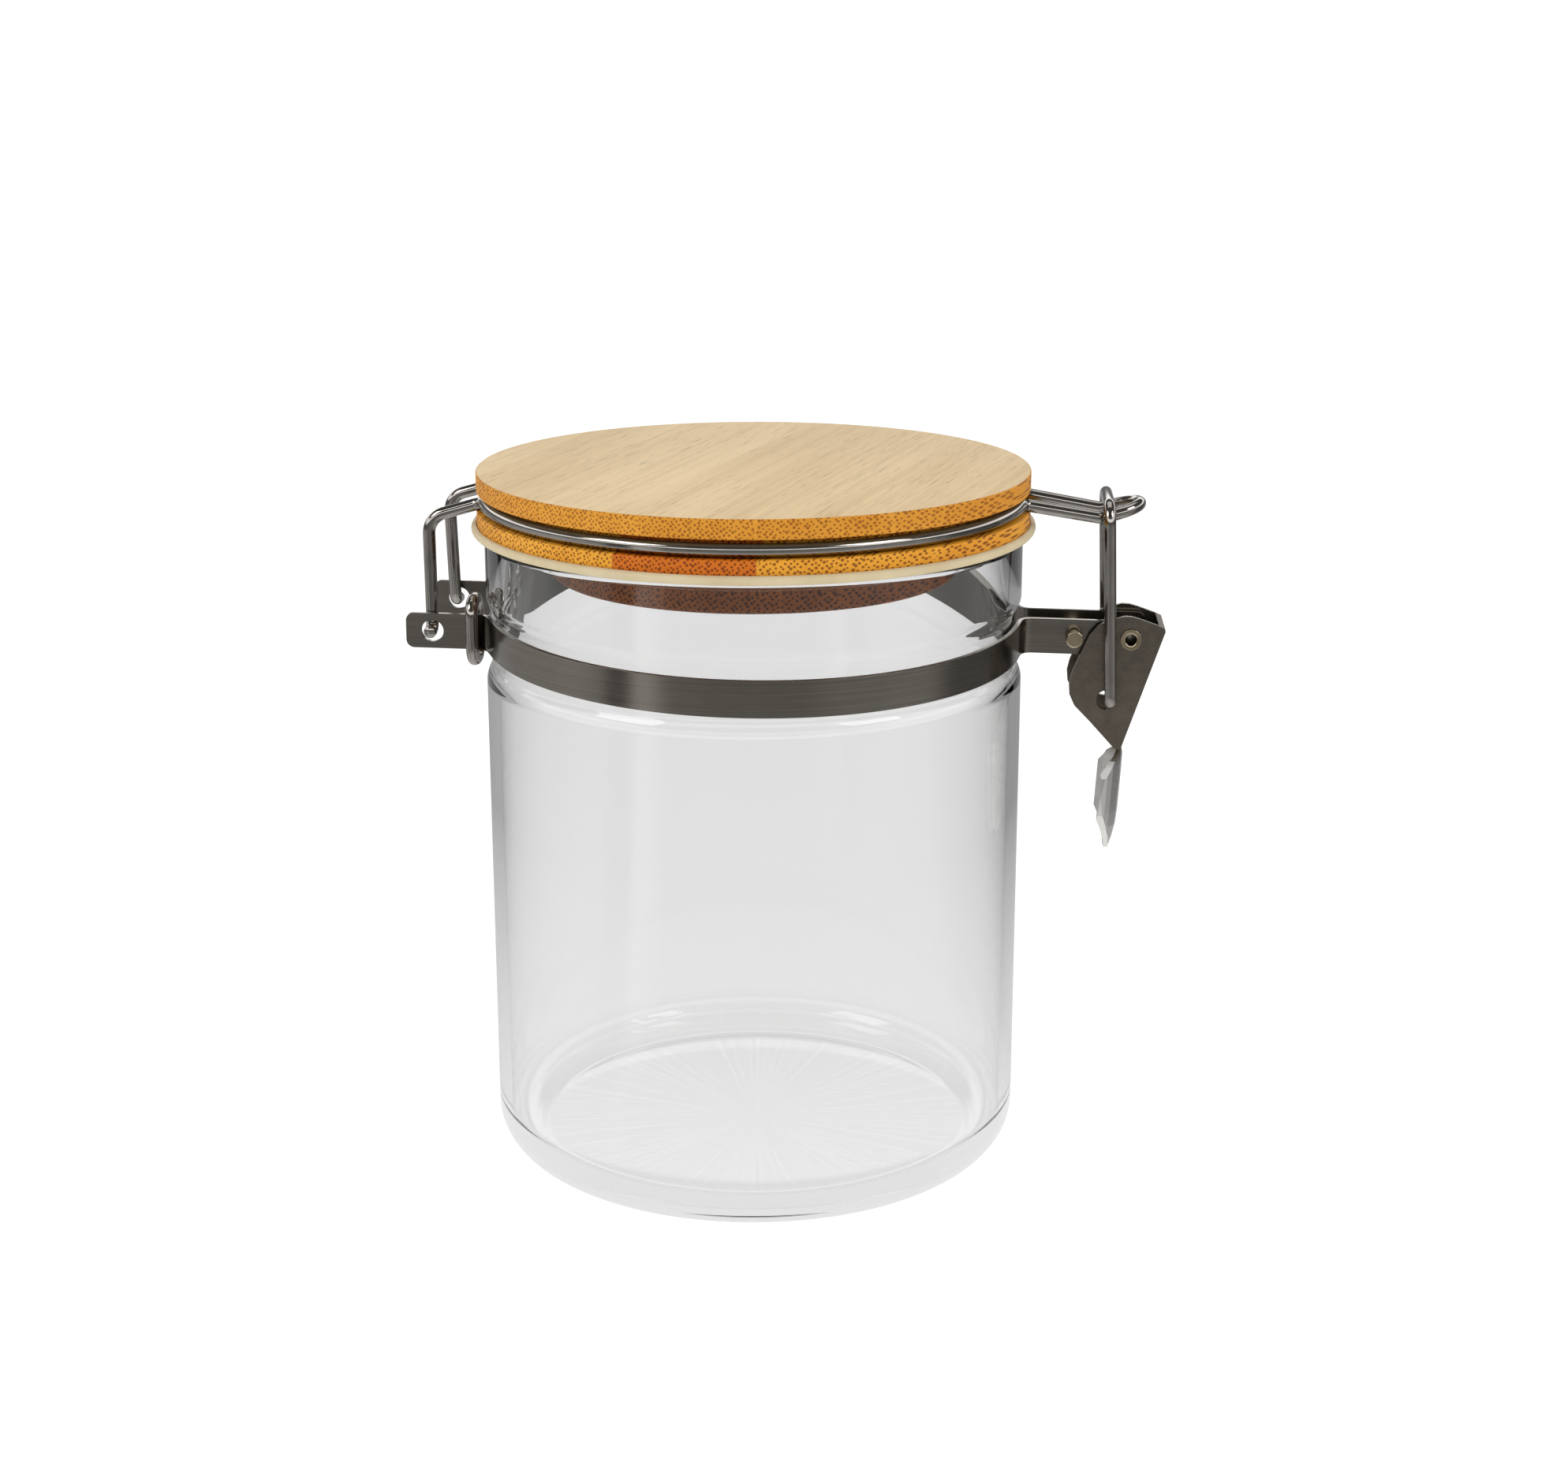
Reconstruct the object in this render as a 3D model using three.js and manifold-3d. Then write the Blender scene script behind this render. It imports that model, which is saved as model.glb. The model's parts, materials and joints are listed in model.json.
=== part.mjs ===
// Clip-top food canister: glass jar, bamboo lid with a silicone gasket, and a wire bail closure.
// Millimetres, +Z up. The origin is the centre of the jar's underside, +X points to the latch,
// -X to the hinge. The model is stored closed.
import * as THREE from 'three';
import { mergeVertices } from 'three/addons/utils/BufferGeometryUtils.js';
import Module from 'manifold-3d';

const wasm = await Module();
wasm.setup();

// ---- Driving dimensions -------------------------------------------------------------------

// Glass jar
const JAR_RADIUS = 50;
const JAR_WALL = 2.2;
const JAR_FLOOR = 3.5;
const JAR_FOOT_BEND = 8.5;
const JAR_FLOOR_BEND = 7.5;
const SHOULDER_Z = 92.5;
const GROOVE_RADIUS = 48.9;
const GROOVE_BOTTOM_Z = 96.4;
const GROOVE_TOP_Z = 105;
const COLLAR_RADIUS = 49.8;
const COLLAR_Z = 108.6;
const NECK_RADIUS = 46.6;
const MOUTH_RADIUS = 47.3;
const RIM_Z = 120.1;
const RIM_BEND = 1.2;

// Bamboo lid, three glued layers
const LID_RADIUS = 51.05;
const LID_EDGE = 0.3;
const LID_TOP_Z = 131.7;
const LID_TOP_LAYER_Z = 128.1;
const WIRE_GROOVE_Z = 124.7;
const WIRE_GROOVE_RADIUS = 47.4;
const FLANGE_Z = 121.7;
const PLUG_RADIUS = 39.3;
const PLUG_Z = 112.4;
const PLUG_EDGE = 1.2;

// Silicone gasket
const GASKET_RADIUS = 52.1;
const GASKET_INNER_RADIUS = 39.6;
const GASKET_Z = 120.4;
const GASKET_EDGE_Z = 122.1;
const GASKET_BEAD_IN = LID_RADIUS + 0.15;

// Neck band: two pressed strips, slightly askew on the jar, each sagging away from its lugs
const BAND_Z = 102.4;
const BAND_TILT = THREE.MathUtils.degToRad(1);
const STRIP_SAG = THREE.MathUtils.degToRad(2.3);
const BAND_HEIGHT = 6.6;
const BAND_GAUGE = 0.8;
const BAND_MID_RADIUS = 49.7;
const HINGE_LUG_Y = 13.6;
const HINGE_LUG_END = -63.1;
const HINGE_LUG_CLEAR = 4;
const HINGE_LUG_BEND = 3.2;
const HINGE_HOLE_X = -58.2;
const HINGE_HOLE_RADIUS = 2.05;
const HINGE_PLAY = { x: -0.35, z: -0.15 };
const LATCH_LUG_Y = 3.8;
const LATCH_LUG_END = 73;
const LATCH_LUG_CLEAR = 3;
const LATCH_LUG_BEND = 2.4;
const LUG_CORNER = 1.5;
const CORNER_OUT = 0.35;

// Wires
const BAIL_WIRE_RADIUS = 1.15;
const BAIL_Z = 126.15;
const BAIL_MID_RADIUS = 49.6;
const BAIL_END_Y = 14.9;
const BAIL_FOOT = { y: 11.7, bend: 1.8 };
const BAIL_SHOULDER = { x: -58.9, y: 10.4, z: 123.3, bend: 3.8 };
const BAIL_ENTRY = { y: 10, out: 0.3, bend: 2.2, clear: 3.6 };
const NOSE_EXIT = { y: 5.8, out: 0.2, bend: 1.8, clear: 3.2 };
const NOSE_KINK = { x: 64, y: 5, z: 123.7, bend: 3 };
const NOSE_END_RADIUS = 4.7;
const NOSE_END_X = 71;
const NOSE_RISE = 0.28;
const LINK_WIRE_RADIUS = 1.1;
const LINK_Y = 9.2;
const LINK_END_Y = 4.2;
const LINK_FOOT_BEND = 1.6;
const LINK_BAR = { x: 65.1, z: 126.45, bend: 3.4 };
const KEEPER_WIRE_RADIUS = 1.2;
const KEEPER_X = -50.6;
const KEEPER_OUTER_Y = 15.5;
const KEEPER_INNER_Y = 9;
const KEEPER_LOW_Z = 97.4;
const KEEPER_BEND = 2.8;
const KEEPER_HIGH_Z = 108.5;

// Latch lever, measured from its pivot
const PIVOT_BAND_X = 69.9;
const PIVOT_RISE = 0.2;
const CHEEK_Y = 5.8;
const LEVER_GAUGE = 0.8;
const LINK_HOLE = { x: -4.1, z: -11.6, radius: 1.9 };
const LINK_PIVOT = { x: -3.5, z: -11.55 };
const TAB_RADIUS = 6.5;
const TAB_HALF_WIDTH = 5.9;
const TAB_X = -0.25;
const TAB_TOP = -20.4;
const TAB_LENGTH = 21.8;
const TAB_LEAN = THREE.MathUtils.degToRad(3.5);
const TAB_NECK = { length: 4, curl: 0.05 };
const TAB_TIP = { start: 14, curl: 0.022 };

// What the channel leaves open on the side that faces the jar, from the foot of the web round.
const LEVER_OPEN_SIDE = [
  [-2.5 - 3 * LEVER_GAUGE, -20.4],
  [-1 - LEVER_GAUGE, -19],
  [5.2, 1.2],
  [4.6, 8],
  [-14, 8],
  [-14, -20.4],
];

// Half of the thumb tab's outline as [y, z], from its neck down to its tip.
const TAB_SIDE = [
  [1.5, 0.1],
  [1.6, -1.4],
  [4.2, -3.6],
  [5.5, -6.8],
  [TAB_HALF_WIDTH, -10.4],
  [5.5, -14],
  [4.4, -17.2],
  [2.7, -20],
  [1.1, -21.4],
];

// Rivets
const PIVOT_TUBE_RADIUS = 1.35;
const PIVOT_BORE_RADIUS = 1;
const PIVOT_RIM_RADIUS = 1.95;
const PIVOT_RIM_Y = 6.25;
const PIVOT_RIM_EDGE = 0.2;
const PIVOT_HOLE_RADIUS = 1.6;
const BAND_RIVET_X = 59.6;
const RIVET_HEAD_RADIUS = 1.65;
const RIVET_HEAD_Y = 6.6;
const RIVET_HEAD_EDGE = 0.3;
const RIVET_SHAFT_RADIUS = 1.1;
const RIVET_SHOULDER_RADIUS = 1.9;
const RIVET_HOLE_RADIUS = 1.4;

// Faceting
const ROUND_STEPS = 60;
const WIRE_SIDES = 8;
const HOLE_SIDES = 16;
const TAB_STEPS = 8;
const ARC_STEP = THREE.MathUtils.degToRad(6);
const BEND_STEPS = 4;
const FIT_GAP = 0.15;

// ---- Materials ----------------------------------------------------------------------------

const material = (color, roughness, metalness) =>
  new THREE.MeshStandardMaterial({ color, roughness, metalness });

const glass = material(0xdfe4e4, 0.05, 0);
glass.transparent = true;
glass.opacity = 0.35;
const bambooTop = material(0xddc29a, 0.6, 0);
const bambooFlange = material(0xd08a35, 0.6, 0);
const bambooPlug = material(0x8f6238, 0.65, 0);
const silicone = material(0xd8ccb0, 0.7, 0);
const bandSteel = material(0x5f6062, 0.4, 1);
const leverSteel = material(0x57544f, 0.4, 1);
const wireSteel = material(0x9a9894, 0.2, 1);
const rivetSteel = material(0x8a857c, 0.3, 1);

// ---- Shape helpers ------------------------------------------------------------------------

// Points along a circular arc in the plane of a profile or outline.
function arc(cx, cy, radius, from, to, steps) {
  const points = [];
  for (let i = 0; i <= steps; i += 1) {
    const angle = THREE.MathUtils.degToRad(from + ((to - from) * i) / steps);
    points.push([cx + radius * Math.cos(angle), cy + radius * Math.sin(angle)]);
  }
  return points;
}

// A turned solid about +Z from a profile of [radius, z] pairs.
function turned(profile, steps = ROUND_STEPS) {
  const points = profile.map(([radius, z]) => new THREE.Vector2(radius, z));
  return new THREE.LatheGeometry(points, steps).rotateX(Math.PI / 2);
}

// A turned solid about the Y axis from a profile of [radius, y] pairs.
function turnedAlongY(profile, steps) {
  const points = profile.map(([radius, y]) => new THREE.Vector2(radius, y));
  return new THREE.LatheGeometry(points, steps);
}

function outline(points) {
  return new THREE.Shape(points.map(([x, y]) => new THREE.Vector2(x, y)));
}

// An XZ outline made into a plate of the given width, centred on Y = 0.
function extrudeAlongY(shape, width) {
  const axes = new THREE.Matrix4().makeBasis(
    new THREE.Vector3(1, 0, 0), new THREE.Vector3(0, 0, 1), new THREE.Vector3(0, -1, 0));
  const options = { depth: width, bevelEnabled: false, curveSegments: 8 };
  return new THREE.ExtrudeGeometry(shape, options).translate(0, 0, -width / 2).applyMatrix4(axes);
}

// A YZ outline made into a plate that runs from X = from to X = to.
function extrudeAlongX(shape, from, to) {
  const axes = new THREE.Matrix4().makeBasis(
    new THREE.Vector3(0, 1, 0), new THREE.Vector3(0, 0, 1), new THREE.Vector3(1, 0, 0));
  const options = { depth: to - from, bevelEnabled: false, curveSegments: 8 };
  return new THREE.ExtrudeGeometry(shape, options).translate(0, 0, from).applyMatrix4(axes);
}

function toSolid(geometry) {
  const bare = geometry.clone();
  bare.deleteAttribute('normal');
  bare.deleteAttribute('uv');
  const merged = mergeVertices(bare, 1e-5);
  return new wasm.Manifold(new wasm.Mesh({
    numProp: 3,
    vertProperties: new Float32Array(merged.attributes.position.array),
    triVerts: new Uint32Array(merged.index.array),
  }));
}

function toGeometry(solid) {
  const mesh = solid.getMesh();
  const geometry = new THREE.BufferGeometry();
  geometry.setAttribute('position', new THREE.BufferAttribute(mesh.vertProperties, mesh.numProp));
  geometry.setIndex(new THREE.BufferAttribute(mesh.triVerts, 1));
  return geometry;
}

// Replaces a sharp corner with an arc that is tangent to both of its sides.
function fillet(before, corner, after, radius, steps = BEND_STEPS) {
  const back = before.clone().sub(corner).normalize();
  const ahead = after.clone().sub(corner).normalize();
  const half = back.angleTo(ahead) / 2;
  const reach = radius / Math.tan(half);
  const toCentre = back.clone().add(ahead).normalize();
  const centre = corner.clone().addScaledVector(toCentre, radius / Math.sin(half));
  const start = corner.clone().addScaledVector(back, reach).sub(centre);
  const turn = Math.PI - 2 * half;
  const axis = new THREE.Vector3().crossVectors(ahead, back).normalize();
  const points = [];
  for (let i = 0; i <= steps; i += 1) {
    points.push(start.clone().applyAxisAngle(axis, (turn * i) / steps).add(centre));
  }
  return points;
}

// A route through corners, each { at, bend }, with every bend rounded.
function roundedRoute(corners) {
  const route = [corners[0].at];
  for (let i = 1; i < corners.length - 1; i += 1) {
    const { at, bend } = corners[i];
    if (bend) {
      route.push(...fillet(corners[i - 1].at, at, corners[i + 1].at, bend));
    } else {
      route.push(at);
    }
  }
  route.push(corners[corners.length - 1].at);
  return route;
}

// A curve that visits its stations one per equal step, so bends keep their own spacing.
class StationCurve extends THREE.Curve {
  constructor(stations) {
    super();
    this.stations = stations;
  }

  getPoint(t, target = new THREE.Vector3()) {
    const last = this.stations.length - 1;
    const place = THREE.MathUtils.clamp(t, 0, 1) * last;
    const index = Math.min(Math.floor(place), last - 1);
    return target.lerpVectors(this.stations[index], this.stations[index + 1], place - index);
  }

  getUtoTmapping(u) {
    return u;
  }
}

// A round wire along a list of stations.
function wire(stations, radius) {
  const section = outline(arc(0, 0, radius, 0, 360, WIRE_SIDES).slice(0, WIRE_SIDES));
  return new THREE.ExtrudeGeometry(section, {
    steps: stations.length - 1,
    extrudePath: new StationCurve(stations),
  });
}

const mirrorY = (points) => points.map((p) => new THREE.Vector3(p.x, -p.y, p.z)).reverse();

const group = new THREE.Group();

function add(parent, name, geometry, look) {
  const mesh = new THREE.Mesh(geometry, look);
  mesh.name = name;
  parent.add(mesh);
}

// ---- Glass jar ----------------------------------------------------------------------------

function glassJar() {
  const inner = JAR_RADIUS - JAR_WALL;
  return turned([
    [0, 0],
    ...arc(JAR_RADIUS - JAR_FOOT_BEND, JAR_FOOT_BEND, JAR_FOOT_BEND, -90, 0, 5),
    [JAR_RADIUS, SHOULDER_Z],
    [JAR_RADIUS - 0.3, SHOULDER_Z + 2],
    [GROOVE_RADIUS, GROOVE_BOTTOM_Z],
    [GROOVE_RADIUS, GROOVE_TOP_Z],
    [COLLAR_RADIUS, COLLAR_Z],
    ...arc(COLLAR_RADIUS - RIM_BEND, RIM_Z - RIM_BEND, RIM_BEND, 0, 90, 3),
    ...arc(MOUTH_RADIUS + RIM_BEND, RIM_Z - RIM_BEND, RIM_BEND, 90, 180, 3),
    [MOUTH_RADIUS, COLLAR_Z],
    [NECK_RADIUS, GROOVE_TOP_Z],
    [NECK_RADIUS, GROOVE_BOTTOM_Z],
    [inner - 0.3, SHOULDER_Z],
    [inner, SHOULDER_Z - 2],
    ...arc(inner - JAR_FLOOR_BEND, JAR_FLOOR + JAR_FLOOR_BEND, JAR_FLOOR_BEND, 0, -90, 5),
    [0, JAR_FLOOR],
  ]);
}

// ---- Lid ----------------------------------------------------------------------------------

function lidTopDisc() {
  return turned([
    [0, LID_TOP_LAYER_Z],
    [LID_RADIUS - LID_EDGE, LID_TOP_LAYER_Z],
    [LID_RADIUS, LID_TOP_LAYER_Z + LID_EDGE],
    [LID_RADIUS, LID_TOP_Z - LID_EDGE],
    [LID_RADIUS - LID_EDGE, LID_TOP_Z],
    [0, LID_TOP_Z],
  ]);
}

// The flange carries the groove that the bail wire runs in.
function lidFlange() {
  return turned([
    [0, FLANGE_Z],
    [LID_RADIUS - LID_EDGE, FLANGE_Z],
    [LID_RADIUS, FLANGE_Z + LID_EDGE],
    [LID_RADIUS, WIRE_GROOVE_Z - LID_EDGE],
    [LID_RADIUS - LID_EDGE, WIRE_GROOVE_Z],
    [WIRE_GROOVE_RADIUS, WIRE_GROOVE_Z],
    [WIRE_GROOVE_RADIUS, LID_TOP_LAYER_Z],
    [0, LID_TOP_LAYER_Z],
  ]);
}

function lidPlug() {
  return turned([
    [0, PLUG_Z],
    ...arc(PLUG_RADIUS - PLUG_EDGE, PLUG_Z + PLUG_EDGE, PLUG_EDGE, -90, 0, 3),
    [PLUG_RADIUS, FLANGE_Z],
    [0, FLANGE_Z],
  ]);
}

// A flat ring under the flange, with a thicker rounded bead outside it.
function gasket() {
  const edge = (GASKET_EDGE_Z - GASKET_Z) / 2;
  return turned([
    [GASKET_INNER_RADIUS, GASKET_Z],
    ...arc(GASKET_RADIUS - edge, GASKET_Z + edge, edge, -90, 90, 4),
    [GASKET_BEAD_IN, GASKET_EDGE_Z],
    [GASKET_BEAD_IN - LID_EDGE, FLANGE_Z],
    [GASKET_INNER_RADIUS, FLANGE_Z],
    [GASKET_INNER_RADIUS, GASKET_Z],
  ]);
}

// ---- Neck band ----------------------------------------------------------------------------

// The middle line of one strip, seen from above: lug, neck circle, lug, on the -Y side.
function bandRoute() {
  const at = (x, y) => new THREE.Vector3(x, y, 0);
  const onNeck = (angle) => at(BAND_MID_RADIUS * Math.cos(angle), BAND_MID_RADIUS * Math.sin(angle));
  const hingeAngle = Math.PI + Math.asin((HINGE_LUG_Y + HINGE_LUG_CLEAR) / BAND_MID_RADIUS);
  const latchAngle = 2 * Math.PI - Math.asin((LATCH_LUG_Y + LATCH_LUG_CLEAR) / BAND_MID_RADIUS);
  const steps = Math.round((latchAngle - hingeAngle) / ARC_STEP);
  const cornerX = (y) => Math.sqrt(BAND_MID_RADIUS ** 2 - y ** 2) + CORNER_OUT;
  const corners = [
    { at: at(HINGE_LUG_END, -HINGE_LUG_Y) },
    { at: at(-cornerX(HINGE_LUG_Y), -HINGE_LUG_Y), bend: HINGE_LUG_BEND },
  ];
  for (let i = 0; i <= steps; i += 1) {
    corners.push({ at: onNeck(hingeAngle + ((latchAngle - hingeAngle) * i) / steps) });
  }
  corners.push({ at: at(cornerX(LATCH_LUG_Y), -LATCH_LUG_Y), bend: LATCH_LUG_BEND });
  corners.push({ at: at(LATCH_LUG_END, -LATCH_LUG_Y) });
  return roundedRoute(corners);
}

// The outline of a strip of even gauge that follows a route in the XY plane.
function stripOutline(route, gauge) {
  const sides = [[], []];
  route.forEach((point, i) => {
    const before = route[Math.max(i - 1, 0)];
    const after = route[Math.min(i + 1, route.length - 1)];
    const along = after.clone().sub(before).normalize();
    sides[0].push([point.x - (along.y * gauge) / 2, point.y + (along.x * gauge) / 2]);
    sides[1].push([point.x + (along.y * gauge) / 2, point.y - (along.x * gauge) / 2]);
  });
  return outline([...sides[1], ...sides[0].reverse()]);
}

function circleHole(x, y, radius) {
  return new THREE.Path(arc(x, y, radius, 0, -360, HOLE_SIDES).slice(0, HOLE_SIDES)
    .map(([px, py]) => new THREE.Vector2(px, py)));
}

// The side view of a strip: its height, the rounded ends of its lugs, and their holes.
function bandSideView() {
  const half = BAND_HEIGHT / 2;
  const left = HINGE_LUG_END + LUG_CORNER;
  const right = LATCH_LUG_END - LUG_CORNER;
  const side = outline([
    ...arc(left, -half + LUG_CORNER, LUG_CORNER, 180, 270, 3),
    ...arc(right, -half + LUG_CORNER, LUG_CORNER, 270, 360, 3),
    ...arc(right, half - LUG_CORNER, LUG_CORNER, 0, 90, 3),
    ...arc(left, half - LUG_CORNER, LUG_CORNER, 90, 180, 3),
  ]);
  side.holes.push(circleHole(HINGE_HOLE_X, 0, HINGE_HOLE_RADIUS));
  side.holes.push(circleHole(BAND_RIVET_X, 0, RIVET_HOLE_RADIUS));
  side.holes.push(circleHole(PIVOT_BAND_X, PIVOT_RISE, PIVOT_HOLE_RADIUS));
  return side;
}

function neckBand(side) {
  const tall = 2 * BAND_HEIGHT;
  const strip = new THREE.ExtrudeGeometry(stripOutline(bandRoute(), BAND_GAUGE),
    { depth: tall, bevelEnabled: false }).translate(0, 0, -tall / 2);
  const sideView = extrudeAlongY(bandSideView(), 3 * JAR_RADIUS);
  const front = toSolid(strip).intersect(toSolid(sideView));
  return toGeometry(side === 'front' ? front : front.mirror([0, 1, 0]));
}

// A point given in the band's own tilted plane, in the canister's frame.
function onBand(x, z) {
  return {
    x: x * Math.cos(BAND_TILT) + z * Math.sin(BAND_TILT),
    z: BAND_Z - x * Math.sin(BAND_TILT) + z * Math.cos(BAND_TILT),
  };
}

// How far a lug lies below the band's plane, as each strip sags from the lugs outwards.
const lugDrop = (y) => -y * Math.sin(STRIP_SAG);

const hingeHole = onBand(HINGE_HOLE_X, lugDrop(HINGE_LUG_Y));
const hinge = { x: hingeHole.x + HINGE_PLAY.x, z: hingeHole.z + HINGE_PLAY.z };
const pivot = onBand(PIVOT_BAND_X, lugDrop(LATCH_LUG_Y) + PIVOT_RISE);

// A rivet with a shoulder between the two latch lugs, which sets their distance.
function bandRivet() {
  const lugIn = LATCH_LUG_Y - BAND_GAUGE / 2 - FIT_GAP;
  const lugOut = LATCH_LUG_Y + BAND_GAUGE / 2 + FIT_GAP;
  const half = [
    [RIVET_SHOULDER_RADIUS, lugIn],
    [RIVET_SHAFT_RADIUS, lugIn],
    [RIVET_SHAFT_RADIUS, lugOut],
    [RIVET_HEAD_RADIUS, lugOut],
    [RIVET_HEAD_RADIUS, RIVET_HEAD_Y - RIVET_HEAD_EDGE],
    [RIVET_HEAD_RADIUS - RIVET_HEAD_EDGE, RIVET_HEAD_Y],
    [0, RIVET_HEAD_Y],
  ];
  const other = half.map(([radius, y]) => [radius, -y]).reverse();
  return turnedAlongY([...other, ...half], HOLE_SIDES);
}

// A tubular rivet, open through its middle, with a rolled rim outside each cheek.
function leverPivot() {
  const rimIn = CHEEK_Y + FIT_GAP;
  const half = [
    [PIVOT_TUBE_RADIUS, rimIn],
    [PIVOT_RIM_RADIUS, rimIn],
    [PIVOT_RIM_RADIUS, PIVOT_RIM_Y - PIVOT_RIM_EDGE / 2],
    [PIVOT_RIM_RADIUS - PIVOT_RIM_EDGE, PIVOT_RIM_Y],
    [PIVOT_BORE_RADIUS + PIVOT_RIM_EDGE, PIVOT_RIM_Y],
    [PIVOT_BORE_RADIUS, PIVOT_RIM_Y - PIVOT_RIM_EDGE],
  ];
  const other = half.map(([radius, y]) => [radius, -y]).reverse();
  return turnedAlongY([...other, ...half, other[0]], HOLE_SIDES);
}

// A small wire ring closed round one hinge lug, with its two ends butted at the inner side.
function keeperRing(side) {
  const bend = KEEPER_BEND;
  const at = (y, z) => new THREE.Vector3(KEEPER_X, side * y, z);
  const middle = (KEEPER_LOW_Z + KEEPER_HIGH_Z) / 2;
  const route = roundedRoute([
    { at: at(KEEPER_INNER_Y, middle - FIT_GAP) },
    { at: at(KEEPER_INNER_Y, KEEPER_LOW_Z), bend },
    { at: at(KEEPER_OUTER_Y, KEEPER_LOW_Z), bend },
    { at: at(KEEPER_OUTER_Y, KEEPER_HIGH_Z), bend },
    { at: at(KEEPER_INNER_Y, KEEPER_HIGH_Z), bend },
    { at: at(KEEPER_INNER_Y, middle + FIT_GAP) },
  ]);
  return wire(route, KEEPER_WIRE_RADIUS);
}

// ---- Bail ---------------------------------------------------------------------------------

// One wire: out of the near hinge hole, up, round the lid's groove to the nose, and back.
function bailWire() {
  const at = (x, y, z) => new THREE.Vector3(x, y, z);
  const exitX = Math.sqrt(BAIL_MID_RADIUS ** 2 - NOSE_EXIT.y ** 2) + NOSE_EXIT.out;
  const entryX = -Math.sqrt(BAIL_MID_RADIUS ** 2 - BAIL_ENTRY.y ** 2) - BAIL_ENTRY.out;
  const entryAngle = Math.PI + Math.asin((BAIL_ENTRY.y + BAIL_ENTRY.clear) / BAIL_MID_RADIUS);
  const exitAngle = 2 * Math.PI - Math.asin((NOSE_EXIT.y + NOSE_EXIT.clear) / BAIL_MID_RADIUS);
  const steps = Math.round((exitAngle - entryAngle) / ARC_STEP);
  const corners = [
    { at: at(hinge.x, -BAIL_END_Y, hinge.z) },
    { at: at(hinge.x, -BAIL_FOOT.y, hinge.z), bend: BAIL_FOOT.bend },
    { at: at(BAIL_SHOULDER.x, -BAIL_SHOULDER.y, BAIL_SHOULDER.z), bend: BAIL_SHOULDER.bend },
    { at: at(entryX, -BAIL_ENTRY.y, BAIL_Z), bend: BAIL_ENTRY.bend },
  ];
  for (let i = 0; i <= steps; i += 1) {
    const angle = entryAngle + ((exitAngle - entryAngle) * i) / steps;
    corners.push({ at: at(BAIL_MID_RADIUS * Math.cos(angle), BAIL_MID_RADIUS * Math.sin(angle), BAIL_Z) });
  }
  corners.push({ at: at(exitX, -NOSE_EXIT.y, BAIL_Z), bend: NOSE_EXIT.bend });
  corners.push({ at: at(NOSE_KINK.x, -NOSE_KINK.y, NOSE_KINK.z), bend: NOSE_KINK.bend });
  const endX = NOSE_END_X - NOSE_END_RADIUS;
  const noseZ = (x) => NOSE_KINK.z + (x - NOSE_KINK.x) * NOSE_RISE;
  corners.push({ at: at(endX, -NOSE_END_RADIUS, noseZ(endX)) });
  const half = roundedRoute(corners);
  const noseEnd = arc(endX, 0, NOSE_END_RADIUS, -90, 90, 10).slice(1, -1)
    .map(([x, y]) => at(x, y, noseZ(x)));
  return wire([...half, ...noseEnd, ...mirrorY(half)], BAIL_WIRE_RADIUS);
}

// ---- Latch --------------------------------------------------------------------------------

// The side of the lever, from its pivot: two cheeks and the slanted web on the outer side.
// The inset moves the web's edge inwards and leaves the other edges where they are.
function leverOutline(inset) {
  return outline([
    [-2.3 - 3 * inset, -21 + inset],
    [-1.25 - inset, -21.1],
    [6.3 - inset, 1.5],
    [6.2 - inset, 2.05],
    [4.8, 2.7],
    [1.55, 3.85],
    [0.1, 4.25],
    [-1.3, 4.3],
    [-4.7, 3.3],
    [-6.1, 2.5],
    [-7.6, 0.7],
    [-9.2, -3],
    [-10.6, -6.5],
    [-11.1, -8.6],
    [-10.95, -10.6],
    [-10, -12.7],
    [-7.1, -15.7],
  ]);
}

// The thumb tab: a leaf-shaped sheet, dished towards the jar, with its tip curled the same way.
function thumbTab() {
  const halfAngle = THREE.MathUtils.radToDeg(Math.asin(TAB_HALF_WIDTH / TAB_RADIUS));
  const curve = [
    ...arc(-TAB_RADIUS, 0, TAB_RADIUS, -halfAngle, halfAngle, 12),
    ...arc(-TAB_RADIUS, 0, TAB_RADIUS - LEVER_GAUGE, halfAngle, -halfAngle, 12),
  ];
  const options = { depth: TAB_LENGTH, steps: TAB_STEPS, bevelEnabled: false };
  const sheet = new THREE.ExtrudeGeometry(outline(curve), options).translate(0, 0, -TAB_LENGTH);
  const other = TAB_SIDE.map(([y, z]) => [-y, z]).reverse();
  const leaf = extrudeAlongX(outline([...other, ...TAB_SIDE]), -2 * TAB_RADIUS, TAB_RADIUS);
  return toSolid(sheet).intersect(toSolid(leaf)).warp((point) => {
    const neck = Math.max(0, point[2] + TAB_NECK.length);
    const tip = Math.max(0, -point[2] - TAB_TIP.start);
    point[0] -= TAB_NECK.curl * neck ** 2 + TAB_TIP.curl * tip ** 2;
  });
}

// A round bar along Y, to cut a hole through both cheeks.
function crossHole(x, z, radius) {
  const round = arc(x, z, radius, 0, 360, HOLE_SIDES).slice(0, HOLE_SIDES);
  return toSolid(extrudeAlongY(outline(round), 3 * CHEEK_Y));
}

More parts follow.
